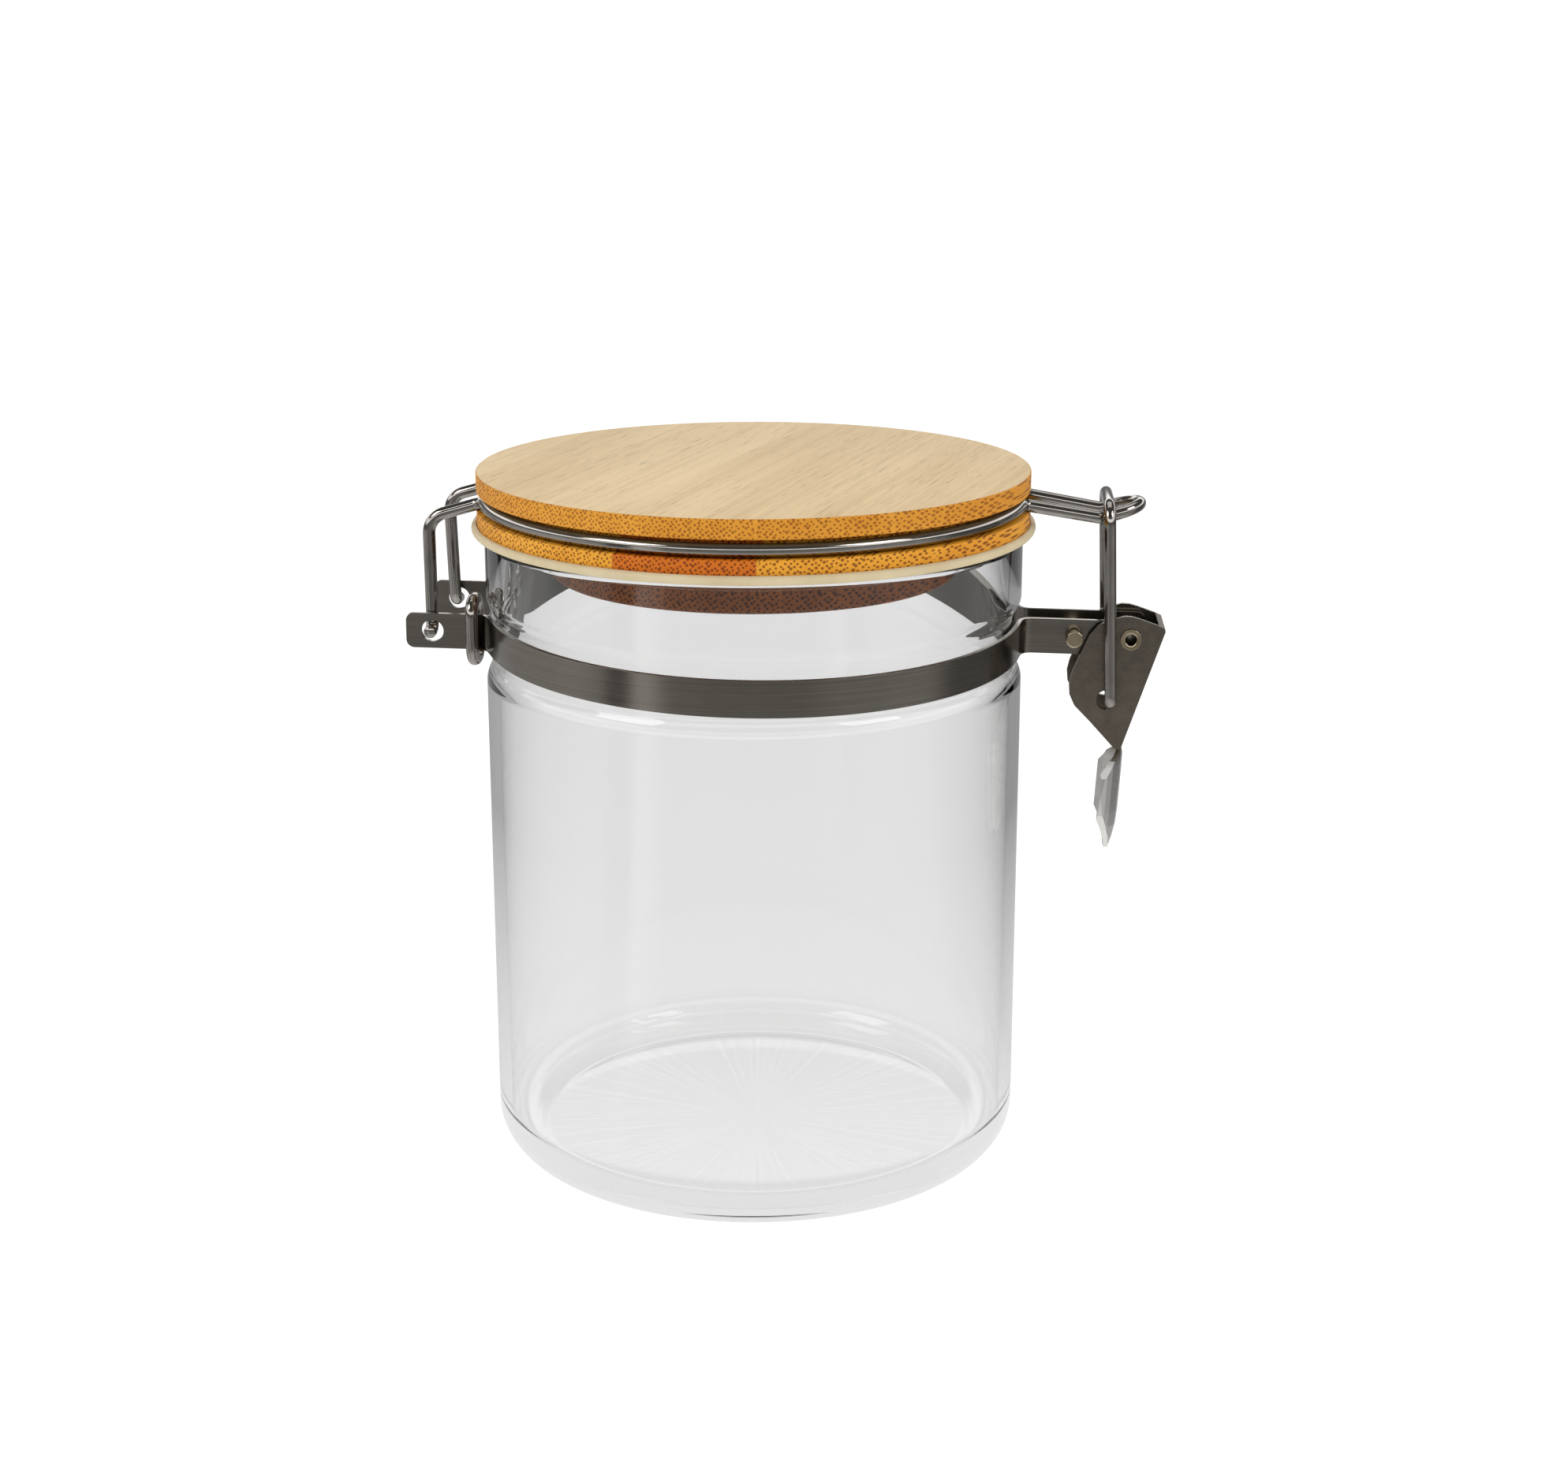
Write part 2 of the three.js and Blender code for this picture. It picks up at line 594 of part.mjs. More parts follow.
function latchLever() {
  const body = toSolid(extrudeAlongY(leverOutline(0), 2 * CHEEK_Y));
  const channelWidth = 2 * (CHEEK_Y - LEVER_GAUGE);
  const channel = toSolid(extrudeAlongY(leverOutline(LEVER_GAUGE), channelWidth));
  const open = toSolid(extrudeAlongY(outline(LEVER_OPEN_SIDE), channelWidth));
  const pivotHole = crossHole(0, 0, PIVOT_HOLE_RADIUS);
  const linkHole = crossHole(LINK_HOLE.x, LINK_HOLE.z, LINK_HOLE.radius);
  const tab = thumbTab().rotate([0, THREE.MathUtils.radToDeg(TAB_LEAN), 0]).translate([TAB_X, 0, TAB_TOP]);
  return toGeometry(body.subtract(channel).subtract(open).add(tab).subtract(pivotHole).subtract(linkHole));
}

// A wire loop from the lever's cheeks up to the bar that holds the bail's nose down.
function linkWire() {
  const at = (x, y, z) => new THREE.Vector3(x, y, z);
  const foot = { x: pivot.x + LINK_PIVOT.x, z: pivot.z + LINK_PIVOT.z };
  const half = roundedRoute([
    { at: at(foot.x, -LINK_END_Y, foot.z) },
    { at: at(foot.x, -LINK_Y, foot.z), bend: LINK_FOOT_BEND },
    { at: at(LINK_BAR.x, -LINK_Y, LINK_BAR.z), bend: LINK_BAR.bend },
    { at: at(LINK_BAR.x, -0.01, LINK_BAR.z) },
  ]).slice(0, -1);
  return wire([...half, ...mirrorY(half)], LINK_WIRE_RADIUS);
}

// ---- Assembly -----------------------------------------------------------------------------

add(group, 'glass_jar', glassJar(), glass);

const band = new THREE.Group();
band.position.z = BAND_Z;
band.rotation.y = BAND_TILT;
const frontStrip = new THREE.Group();
frontStrip.rotation.x = STRIP_SAG;
add(frontStrip, 'neck_band_front', neckBand('front'), bandSteel);
band.add(frontStrip);
const rearStrip = new THREE.Group();
rearStrip.rotation.x = -STRIP_SAG;
add(rearStrip, 'neck_band_rear', neckBand('rear'), bandSteel.clone());
band.add(rearStrip);
const rivet = new THREE.Group();
rivet.position.set(BAND_RIVET_X, 0, lugDrop(LATCH_LUG_Y));
add(rivet, 'band_rivet', bandRivet(), rivetSteel);
band.add(rivet);
group.add(band);

add(group, 'keeper_ring_front', keeperRing(-1), wireSteel);
add(group, 'keeper_ring_rear', keeperRing(1), wireSteel.clone());

const lid = new THREE.Group();
add(lid, 'lid_top_disc', lidTopDisc(), bambooTop);
add(lid, 'lid_flange', lidFlange(), bambooFlange);
add(lid, 'lid_plug', lidPlug(), bambooPlug);
add(lid, 'gasket', gasket(), silicone);
group.add(lid);

add(group, 'bail_wire', bailWire(), wireSteel.clone());

const latch = new THREE.Group();
latch.position.set(pivot.x, 0, pivot.z);
add(latch, 'lever_pivot', leverPivot(), rivetSteel.clone());
add(latch, 'latch_lever', latchLever(), leverSteel);
group.add(latch);

add(group, 'link_wire', linkWire(), wireSteel.clone());

export default group;
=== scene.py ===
"""A clip-top food canister: glass jar, bamboo lid with a silicone gasket, wire bail and lever latch.

Lengths in this file are millimetres until a mesh is made, and every mesh is written in metres in the frame
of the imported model: the origin under the jar, +Z up, +X to the latch.
"""

import json
import math

import bmesh
import bpy
from mathutils import Matrix, Quaternion, Vector


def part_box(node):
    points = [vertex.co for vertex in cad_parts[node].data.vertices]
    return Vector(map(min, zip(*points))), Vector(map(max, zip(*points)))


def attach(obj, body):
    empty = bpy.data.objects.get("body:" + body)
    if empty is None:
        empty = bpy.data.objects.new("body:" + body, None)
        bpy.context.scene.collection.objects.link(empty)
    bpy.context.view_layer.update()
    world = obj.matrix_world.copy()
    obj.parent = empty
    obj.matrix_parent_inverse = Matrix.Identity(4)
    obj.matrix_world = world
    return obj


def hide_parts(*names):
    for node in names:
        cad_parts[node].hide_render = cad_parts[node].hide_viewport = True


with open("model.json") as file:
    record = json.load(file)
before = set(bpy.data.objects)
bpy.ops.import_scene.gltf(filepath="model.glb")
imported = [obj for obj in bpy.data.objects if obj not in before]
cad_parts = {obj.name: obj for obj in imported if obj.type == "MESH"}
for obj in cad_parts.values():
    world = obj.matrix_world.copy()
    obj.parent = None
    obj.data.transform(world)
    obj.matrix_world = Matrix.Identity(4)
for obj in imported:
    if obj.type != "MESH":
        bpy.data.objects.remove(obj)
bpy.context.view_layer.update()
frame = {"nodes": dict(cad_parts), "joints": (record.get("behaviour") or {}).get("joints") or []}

MM = 0.001


def node_box(name):
    """The lowest and highest corners of a CAD node, in millimetres."""
    low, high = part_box(name)
    return low / MM, high / MM


# ---- Driving dimensions, taken from the frame where it has them ---------------------------

JAR_LOW, JAR_HIGH = node_box("glass_jar")
JAR_RADIUS = JAR_HIGH.x
JAR_WALL = 2.2
JAR_FLOOR = 3.5
JAR_FOOT_BEND = 8.5
JAR_FLOOR_BEND = 7.5
SHOULDER_Z = 92.5
GROOVE_RADIUS = 48.9
GROOVE_BOTTOM_Z = 96.4
GROOVE_TOP_Z = 105.0
COLLAR_RADIUS = 49.8
COLLAR_Z = 108.6
NECK_RADIUS = 46.6
MOUTH_RADIUS = 47.3
RIM_Z = JAR_HIGH.z
RIM_BEND = 1.2

LID_RADIUS = node_box("lid_top_disc")[1].x
LID_TOP_Z = node_box("lid_top_disc")[1].z
LID_TOP_LAYER_Z = node_box("lid_top_disc")[0].z
WIRE_GROOVE_Z = 124.7
WIRE_GROOVE_RADIUS = 47.4
FLANGE_Z = node_box("lid_flange")[0].z
PLUG_RADIUS = node_box("lid_plug")[1].x
PLUG_Z = node_box("lid_plug")[0].z
PLUG_EDGE_RADIUS = 1.2
LID_EDGE = 0.28
GRAIN_ANGLE = math.radians(75)
STRIP_WIDTH = 20.0
STRIP_START = 2.8

GASKET_RADIUS = node_box("gasket")[1].x
GASKET_Z = 120.4
GASKET_EDGE_Z = node_box("gasket")[1].z
GASKET_INNER_RADIUS = 39.6
GASKET_BEAD_OUT = 0.15
GASKET_BEAD_UNDER = 0.13

BAND_Z = 102.4
BAND_TILT = math.radians(1)
STRIP_SAG = math.radians(2.3)
BAND_HEIGHT = 6.6
BAND_GAUGE = 0.8
BAND_MID_RADIUS = 49.7
SHEET_EDGE = 0.2
HINGE_LUG_Y = 13.6
HINGE_LUG_END = -63.1
HINGE_LUG_CLEAR = 4
HINGE_LUG_BEND = 3.2
HINGE_HOLE_X = -58.2
HINGE_HOLE_RADIUS = 2.05
LATCH_LUG_Y = 3.8
LATCH_LUG_END = 73
LATCH_LUG_CLEAR = 3
LATCH_LUG_BEND = 2.4
LUG_CORNER = 1.5
CORNER_OUT = 0.35
BAND_RIVET_X = 59.6
PIVOT_BAND_X = 69.9
PIVOT_RISE = 0.2

# A corner of a wire has its place, its bend radius, "out" for how far it lies outside the bail's circle,
# and "clear" for how far from it, along Y, the round stretch starts. The rear half mirrors the front one.
BAIL_WIRE_RADIUS = 1.15
BAIL_Z = 126.15
BAIL_MID_RADIUS = 49.6
BAIL_END_Y = 14.9
BAIL_FOOT = {"y": 11.7, "bend": 1.8}
BAIL_SHOULDER = {"x": -58.9, "y": 10.4, "z": 123.3, "bend": 3.8}
BAIL_ENTRY = {"y": 10.0, "out": 0.3, "bend": 2.2, "clear": 3.6}
NOSE_EXIT = {"y": 5.8, "out": 0.2, "bend": 1.8, "clear": 3.2}
NOSE_KINK = {"x": 64.0, "y": 5.0, "z": 123.7, "bend": 3.0}
NOSE_END_RADIUS = 4.7
NOSE_END_X = 71.0
NOSE_RISE = 0.28
LINK_WIRE_RADIUS = 1.1
LINK_Y = 9.2
LINK_END_Y = 4.2
LINK_FOOT_BEND = 1.6
LINK_BAR = {"x": 65.1, "z": 126.45, "bend": 3.4}
KEEPER_WIRE_RADIUS = 1.2
KEEPER_INNER_Y = 9.0
KEEPER_OUTER_Y = 15.5
KEEPER_BEND = 2.8
KEEPER_END_GAP = 0.2

FIT_GAP = 0.15
LEVER_EDGE = 0.12
# A half that gets mirrored starts this far from the middle, so that no point is doubled.
MIDDLE_GAP = 0.01
RIVET_SHOULDER_RADIUS = 1.9
RIVET_SHOULDER_EDGE = 0.15
RIVET_SHAFT_RADIUS = 1.1
RIVET_HEAD_RADIUS = 1.65
RIVET_HEAD_UNDER = 0.3
RIVET_HEAD_DOME = 0.4
RIVET_HOLE_RADIUS = 1.4
PIVOT_TUBE_RADIUS = 1.35
PIVOT_RIM_RADIUS = 1.95
PIVOT_RIM_IN_Y = 6.05
PIVOT_RIM_FOOT = 0.2
PIVOT_BORE_RADIUS = 1.0
PIVOT_BORE_FLARE = {"radius": 1.25, "middle": 1.08, "middle_depth": 0.1, "depth": 0.3}
PIVOT_HOLE_RADIUS = 1.6
BORE_PAINT_EDGE = 0.05

# ---- Mesh helpers -------------------------------------------------------------------------


def arc(cx, cy, radius, start, end, steps):
    """Points along a circular arc, angles in degrees."""
    angles = [math.radians(start + (end - start) * i / steps) for i in range(steps + 1)]
    return [(cx + radius * math.cos(a), cy + radius * math.sin(a)) for a in angles]


def add_mesh(name, verts, faces, crease=35):
    """A new smooth-shaded mesh object from vertices in millimetres."""
    mesh = bpy.data.meshes.new(name)
    mesh.from_pydata([Vector(v) * MM for v in verts], [], faces)
    made = bpy.data.objects.new(name, mesh)
    bpy.context.scene.collection.objects.link(made)
    work = bmesh.new()
    work.from_mesh(mesh)
    bmesh.ops.remove_doubles(work, verts=work.verts, dist=1e-7)
    bmesh.ops.recalc_face_normals(work, faces=work.faces)
    work.to_mesh(mesh)
    work.free()
    mesh.shade_smooth()
    mesh.set_sharp_from_angle(angle=math.radians(crease))
    return made


def turned(name, profile, steps=192, crease=35):
    """A turned solid about Z from [radius, z] pairs; a radius of 0 closes the solid on the axis."""
    verts = []
    rings = []
    for radius, z in profile:
        if radius < 1e-6:
            rings.append([len(verts)] * steps)
            verts.append((0, 0, z))
        else:
            rings.append(list(range(len(verts), len(verts) + steps)))
            for i in range(steps):
                angle = 2 * math.pi * i / steps
                verts.append((radius * math.cos(angle), radius * math.sin(angle), z))
    faces = []
    for low, high in zip(rings, rings[1:]):
        for i in range(steps):
            j = (i + 1) % steps
            corners = [low[i], low[j], high[j], high[i]]
            face = [c for k, c in enumerate(corners) if c not in corners[:k]]
            if len(face) > 2:
                faces.append(face)
    return add_mesh(name, verts, faces, crease)


def fillet(before, corner, after, radius, steps=10):
    """The arc that rounds one corner of a route."""
    back = (before - corner).normalized()
    ahead = (after - corner).normalized()
    half = back.angle(ahead) / 2
    centre = corner + (back + ahead).normalized() * (radius / math.sin(half))
    start = corner + back * (radius / math.tan(half)) - centre
    axis = ahead.cross(back).normalized()
    turn = math.pi - 2 * half
    return [centre + Quaternion(axis, turn * i / steps) @ start for i in range(steps + 1)]


def rounded_route(corners):
    """A route through (point, bend radius) corners, with every bend rounded."""
    route = [corners[0][0]]
    for before, (point, bend), after in zip(corners, corners[1:], corners[2:]):
        route += fillet(before[0], point, after[0], bend) if bend else [point]
    return route + [corners[-1][0]]


def tube(name, stations, radius, sides=24, end_edge=0.25):
    """A round wire along its stations, with its cut ends slightly broken."""
    tangents = []
    for i, point in enumerate(stations):
        before = stations[max(i - 1, 0)]
        after = stations[min(i + 1, len(stations) - 1)]
        tangents.append((after - before).normalized())
    normal = tangents[0].orthogonal().normalized()
    verts = []
    rings = []

    def ring(centre, normal, side, size):
        rings.append(list(range(len(verts), len(verts) + sides)))
        for k in range(sides):
            angle = 2 * math.pi * k / sides
            verts.append(centre + (normal * math.cos(angle) + side * math.sin(angle)) * size)

    for i, (point, tangent) in enumerate(zip(stations, tangents)):
        if i:
            normal = tangents[i - 1].rotation_difference(tangent) @ normal
        normal = (normal - tangent * normal.dot(tangent)).normalized()
        side = tangent.cross(normal)
        if i == 0:
            ring(point, normal, side, radius - end_edge)
            ring(point + tangent * end_edge, normal, side, radius)
        elif i == len(stations) - 1:
            ring(point - tangent * end_edge, normal, side, radius)
            ring(point, normal, side, radius - end_edge)
        else:
            ring(point, normal, side, radius)
    faces = [list(reversed(rings[0])), rings[-1]]
    for low, high in zip(rings, rings[1:]):
        for k in range(sides):
            j = (k + 1) % sides
            faces.append([low[k], low[j], high[j], high[k]])
    return add_mesh(name, verts, faces, crease=50)


def mirrored(points):
    return [Vector((p.x, -p.y, p.z)) for p in reversed(points)]


def stand_for(piece, node, body):
    """The piece moves with a CAD body and hides the node it stands for."""
    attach(piece, body)
    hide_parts(node)


# ---- Material helpers ---------------------------------------------------------------------


def srgb(red, green, blue):
    """A colour given as 0 to 255 screen values, as the linear colour that shaders use."""
    def linear(value):
        value /= 255
        return value / 12.92 if value <= 0.04045 else ((value + 0.055) / 1.055) ** 2.4
    return (linear(red), linear(green), linear(blue), 1.0)


def new_material(name):
    material = bpy.data.materials.new(name)
    material.use_nodes = True
    return material, material.node_tree, material.node_tree.nodes["Principled BSDF"]


def node(tree, kind, inputs=None, **settings):
    """A new node; an input is a value, or a socket that is linked to it."""
    made = tree.nodes.new(kind)
    for key, value in settings.items():
        setattr(made, key, value)
    for key, value in (inputs or {}).items():
        if isinstance(value, bpy.types.NodeSocket):
            tree.links.new(value, made.inputs[key])
        else:
            made.inputs[key].default_value = value
    return made


def maths(tree, operation, *values):
    made = node(tree, "ShaderNodeMath", dict(enumerate(values)), operation=operation)
    return made.outputs[0]


def ramp(tree, factor, *stops):
    """A colour ramp through (position, colour) stops."""
    made = node(tree, "ShaderNodeValToRGB", {"Fac": factor})
    elements = made.color_ramp.elements
    while len(elements) < len(stops):
        elements.new(1.0)
    for element, (position, colour) in zip(elements, stops):
        element.position = position
        element.color = colour
    return made.outputs["Color"]


def grey(value):
    return (value, value, value, 1.0)


def mixed(tree, factor, first, second, blend="MIX"):
    made = node(tree, "ShaderNodeMix", data_type="RGBA", blend_type=blend)
    for key, value in ((0, factor), (6, first), (7, second)):
        if isinstance(value, bpy.types.NodeSocket):
            tree.links.new(value, made.inputs[key])
        else:
            made.inputs[key].default_value = value
    return made.outputs[2]


def object_coordinates(tree, scale=(1, 1, 1), turn=0.0):
    """The object's own coordinates in metres, turned about Z and scaled."""
    place = node(tree, "ShaderNodeTexCoord").outputs["Object"]
    turned_place = node(tree, "ShaderNodeMapping", {"Vector": place, "Rotation": (0, 0, turn)})
    scaled = node(tree, "ShaderNodeMapping", {"Vector": turned_place.outputs[0], "Scale": scale})
    return scaled.outputs[0]


def noise(tree, vector, scale=1.0, detail=4.0, roughness=0.55):
    made = node(tree, "ShaderNodeTexNoise", {
        "Vector": vector, "Scale": scale, "Detail": detail, "Roughness": roughness})
    return made.outputs["Fac"]


def bump(tree, shader, height, strength, distance):
    made = node(tree, "ShaderNodeBump", {
        "Height": height, "Strength": strength, "Distance": distance * MM})
    tree.links.new(made.outputs["Normal"], shader.inputs["Normal"])


# ---- Materials ----------------------------------------------------------------------------

DOT_SIZE = 0.33

def glass_material():
    """Clear glass that lets lamps and bounced light through, so what it covers is not left in shade."""
    material, tree, shader = new_material("jar_glass")
    shader.inputs["Base Color"].default_value = grey(0.855)
    shader.inputs["Roughness"].default_value = 0.0
    shader.inputs["IOR"].default_value = 1.48
    shader.inputs["Transmission Weight"].default_value = 1.0
    clear = node(tree, "ShaderNodeBsdfTransparent", {"Color": grey(0.95)})
    path = node(tree, "ShaderNodeLightPath")
    through = maths(tree, "MAXIMUM", path.outputs["Is Shadow Ray"], path.outputs["Is Diffuse Ray"])
    blended = node(tree, "ShaderNodeMixShader", {0: through, 1: shader.outputs[0], 2: clear.outputs[0]})
    tree.links.new(blended.outputs[0], tree.nodes["Material Output"].inputs["Surface"])
    return material


def strips(tree, width, start):
    """Glued strips across the grain: a random value for each, its number, and the joints between them."""
    across = node(tree, "ShaderNodeSeparateXYZ", {
        "Vector": object_coordinates(tree, (1, 1000, 1), -GRAIN_ANGLE)}).outputs["Y"]
    place = maths(tree, "DIVIDE", maths(tree, "SUBTRACT", across, start), width)
    index = maths(tree, "FLOOR", place)
    value = node(tree, "ShaderNodeTexWhiteNoise", {"W": index}, noise_dimensions="1D").outputs["Value"]
    off_joint = maths(tree, "ABSOLUTE", maths(tree, "SUBTRACT", maths(tree, "FRACT", place), 0.5))
    joints = ramp(tree, off_joint, (0.485, grey(0)), (0.497, grey(1)))
    return value, index, joints


def bamboo_face(name, light, dark):
    """Sanded face: long pale streaks, short dark vessel dashes, and glued strips of varied tone."""
    material, tree, shader = new_material(name)
    value, _, joints = strips(tree, STRIP_WIDTH, STRIP_START)
    streaks = noise(tree, object_coordinates(tree, (14, 900, 900), -GRAIN_ANGLE), detail=5)
    broad = noise(tree, object_coordinates(tree, (9, 60, 60), -GRAIN_ANGLE), detail=3)
    dashes = noise(tree, object_coordinates(tree, (110, 3600, 3600), -GRAIN_ANGLE), detail=1)
    crowd = noise(tree, object_coordinates(tree, (18, 110, 110), -GRAIN_ANGLE), detail=2)
    tone = maths(tree, "ADD", maths(tree, "MULTIPLY", streaks, 0.5), maths(tree, "MULTIPLY", broad, 0.5))
    tone = maths(tree, "ADD", tone, maths(tree, "MULTIPLY", value, 0.10))
    colour = ramp(tree, tone, (0.30, dark), (0.72, light))
    limit = maths(tree, "ADD", dashes, maths(tree, "MULTIPLY", crowd, 0.22))
    dash_mask = ramp(tree, limit, (0.755, grey(0)), (0.80, grey(1)))
    dash_colour = [c * 0.48 for c in dark[:3]] + [1.0]
    colour = mixed(tree, maths(tree, "MULTIPLY", dash_mask, 0.5), colour, dash_colour)
    colour = mixed(tree, maths(tree, "MULTIPLY", joints, 0.25), colour, dark)
    tree.links.new(colour, shader.inputs["Base Color"])
    shader.inputs["Roughness"].default_value = 0.62
    shader.inputs["Specular IOR Level"].default_value = 0.3
    bump(tree, shader, maths(tree, "SUBTRACT", streaks, dash_mask), 0.22, 0.12)
    return material


def bamboo_end(name, light, dark, dot, spacing=0.70, strip_width=STRIP_WIDTH, strip_start=STRIP_START,
               tinted_strip=None):
    """Cut ends: a streaky ground with the dark dots of the fibre bundles, which run along the grain.

    spacing is the distance between dots in millimetres, and tinted_strip is the number of one strip that
    differs from the rest, with its tint.
    """
    material, tree, shader = new_material(name)
    value, index, joints = strips(tree, strip_width, strip_start)
    warp = noise(tree, object_coordinates(tree, (260, 260, 260)), detail=2)
    per_metre = 1000 / spacing
    place = node(tree, "ShaderNodeSeparateXYZ", {
        "Vector": object_coordinates(tree, (1, per_metre, per_metre), -GRAIN_ANGLE)})
    shift = maths(tree, "MULTIPLY", value, 37.0)
    across = maths(tree, "ADD", place.outputs["Y"], maths(tree, "MULTIPLY", warp, 0.5))
    flat = node(tree, "ShaderNodeCombineXYZ", {
        "X": maths(tree, "ADD", across, shift), "Y": maths(tree, "ADD", place.outputs["Z"], shift)})
    turned_flat = node(tree, "ShaderNodeMapping", {
        "Vector": flat.outputs[0], "Rotation": (0, 0, math.radians(38))})
    cells = node(tree, "ShaderNodeTexVoronoi", {
        "Vector": turned_flat.outputs[0], "Scale": 1.0, "Randomness": 0.5},
        voronoi_dimensions="2D", feature="F1")
    size = node(tree, "ShaderNodeSeparateXYZ", {"Vector": cells.outputs["Color"]}).outputs["X"]
    spread = maths(tree, "ADD", 0.8, maths(tree, "MULTIPLY", size, 0.45))
    reach = maths(tree, "MULTIPLY", cells.outputs["Distance"], spread)
    dots = ramp(tree, reach, (DOT_SIZE * 0.6, grey(1)), (DOT_SIZE * 1.15, grey(0)))
    halo = ramp(tree, reach, (DOT_SIZE, grey(0)), (DOT_SIZE * 1.45, grey(1)), (DOT_SIZE * 2.2, grey(0)))
    broad = noise(tree, object_coordinates(tree, (40, 160, 160), -GRAIN_ANGLE), detail=4)
    fine = noise(tree, object_coordinates(tree, (500, 2600, 2600), -GRAIN_ANGLE), detail=3)
    tone = maths(tree, "ADD", maths(tree, "MULTIPLY", broad, 0.6), maths(tree, "MULTIPLY", fine, 0.25))
    tone = maths(tree, "ADD", tone, maths(tree, "MULTIPLY", value, 0.2))
    colour = ramp(tree, tone, (0.32, dark), (0.75, light))
    colour = mixed(tree, maths(tree, "MULTIPLY", halo, 0.35), colour, light)
    colour = mixed(tree, maths(tree, "MULTIPLY", dots, 0.8), colour, dot)
    if tinted_strip:
        number, tint = tinted_strip
        on_strip = maths(tree, "COMPARE", index, number, 0.5)
        colour = mixed(tree, on_strip, colour, tint, "MULTIPLY")
    colour = mixed(tree, maths(tree, "MULTIPLY", joints, 0.5), colour, light)
    tree.links.new(colour, shader.inputs["Base Color"])
    shader.inputs["Roughness"].default_value = 0.5
    shader.inputs["Specular IOR Level"].default_value = 0.2
    bump(tree, shader, maths(tree, "SUBTRACT", fine, dots), 0.3, 0.1)
    return material


def silicone_material():
    """Cream silicone, faintly cloudy, that lets a little light in."""
    material, tree, shader = new_material("gasket_silicone")
    cloud = noise(tree, object_coordinates(tree, (120, 120, 120)), detail=3)
    grain = noise(tree, object_coordinates(tree, (3500, 3500, 3500)), detail=2)
    colour = ramp(tree, cloud, (0.3, srgb(200, 182, 144)), (0.7, srgb(212, 196, 160)))
    tree.links.new(colour, shader.inputs["Base Color"])
    shader.inputs["Roughness"].default_value = 0.55
    shader.inputs["Subsurface Weight"].default_value = 0.15
    shader.inputs["Subsurface Radius"].default_value = (0.002, 0.0015, 0.001)
    bump(tree, shader, grain, 0.15, 0.05)
    return material


def steel_material(name, dark, light, roughness, brush, bump_strength=0.1):
    """Steel with a brushed or drawn finish; brush scales the streaks along each axis."""
    material, tree, shader = new_material(name)
    cloud = noise(tree, object_coordinates(tree, (45, 45, 45)), detail=4)
    streaks = noise(tree, object_coordinates(tree, brush), detail=4, roughness=0.6)
    tone = maths(tree, "ADD", maths(tree, "MULTIPLY", cloud, 0.5), maths(tree, "MULTIPLY", streaks, 0.5))
    tree.links.new(ramp(tree, tone, (0.3, dark), (0.7, light)), shader.inputs["Base Color"])
    spread = maths(tree, "ADD", roughness - 0.06, maths(tree, "MULTIPLY", tone, 0.14))
    tree.links.new(spread, shader.inputs["Roughness"])
    shader.inputs["Metallic"].default_value = 1.0
    bump(tree, shader, streaks, bump_strength, 0.02)
    return material


def lever_material(name, dark, light, roughness, brush):
    """The lever's steel: dark on its cheeks, with a painted reflection that makes the thumb tab at its
    lower end near-white.
    """
    material = steel_material(name, dark, light, roughness, brush)
    tree = material.node_tree
    shader = tree.nodes["Principled BSDF"]
    height = node(tree, "ShaderNodeSeparateXYZ", {
        "Vector": node(tree, "ShaderNodeTexCoord").outputs["Generated"]}).outputs["Z"]
    # Painted reflection: below about 0.4 of the lever's height, on the thumb tab, the colour turns
    # near-white for the light the tab reflects.
    tab_painted_reflection = ramp(tree, height, (0.36, grey(1)), (0.42, grey(0)))
    plain = shader.inputs["Base Color"].links[0].from_socket
    tree.links.new(mixed(tree, tab_painted_reflection, plain, srgb(236, 234, 230)), shader.inputs["Base Color"])
    return material


GLASS = glass_material()
TOP_FACE = bamboo_face("bamboo_face", srgb(235, 210, 168), srgb(208, 179, 135))
TOP_EDGE = bamboo_end("bamboo_edge", srgb(224, 158, 54), srgb(198, 128, 30), srgb(134, 74, 16))
FLANGE_EDGE = bamboo_end(
    "bamboo_flange", srgb(234, 168, 54), srgb(212, 138, 32), srgb(108, 50, 12), spacing=0.74,
    strip_width=25.3, strip_start=7.8, tinted_strip=(-1, (0.78, 0.44, 0.24, 1.0)))
# Painted shade: the plug's bamboo is coloured a darker brown than the flange for the shade it sits in
# inside the jar's mouth.
PLUG_BAMBOO_PAINTED_SHADE = bamboo_end("bamboo_plug", srgb(142, 84, 36), srgb(108, 56, 18), srgb(28, 12, 5), spacing=0.78)
SILICONE = silicone_material()
WIRE = steel_material(
    "wire_steel", srgb(148, 143, 137), srgb(176, 171, 165), 0.10, (300, 300, 300), bump_strength=0.02)
BAND = steel_material("band_steel", srgb(124, 119, 111), srgb(154, 148, 139), 0.19, (25, 25, 2600))
LEVER = lever_material("lever_steel", srgb(120, 112, 101), srgb(146, 137, 124), 0.27, (500, 60, 500))
RIVET = steel_material("rivet_steel", srgb(176, 160, 132), srgb(210, 194, 166), 0.16, (600, 600, 600))
# Painted shade: a dark brass-brown for the inside of the pivot's bore, standing in for the shade there.
BORE_PAINTED_SHADE = steel_material("rivet_bore_painted_shade", srgb(70, 52, 28), srgb(112, 86, 46), 0.4, (600, 600, 600))


def paint(piece, *materials):
    piece.data.materials.clear()
    for material in materials:
        piece.data.materials.append(material)


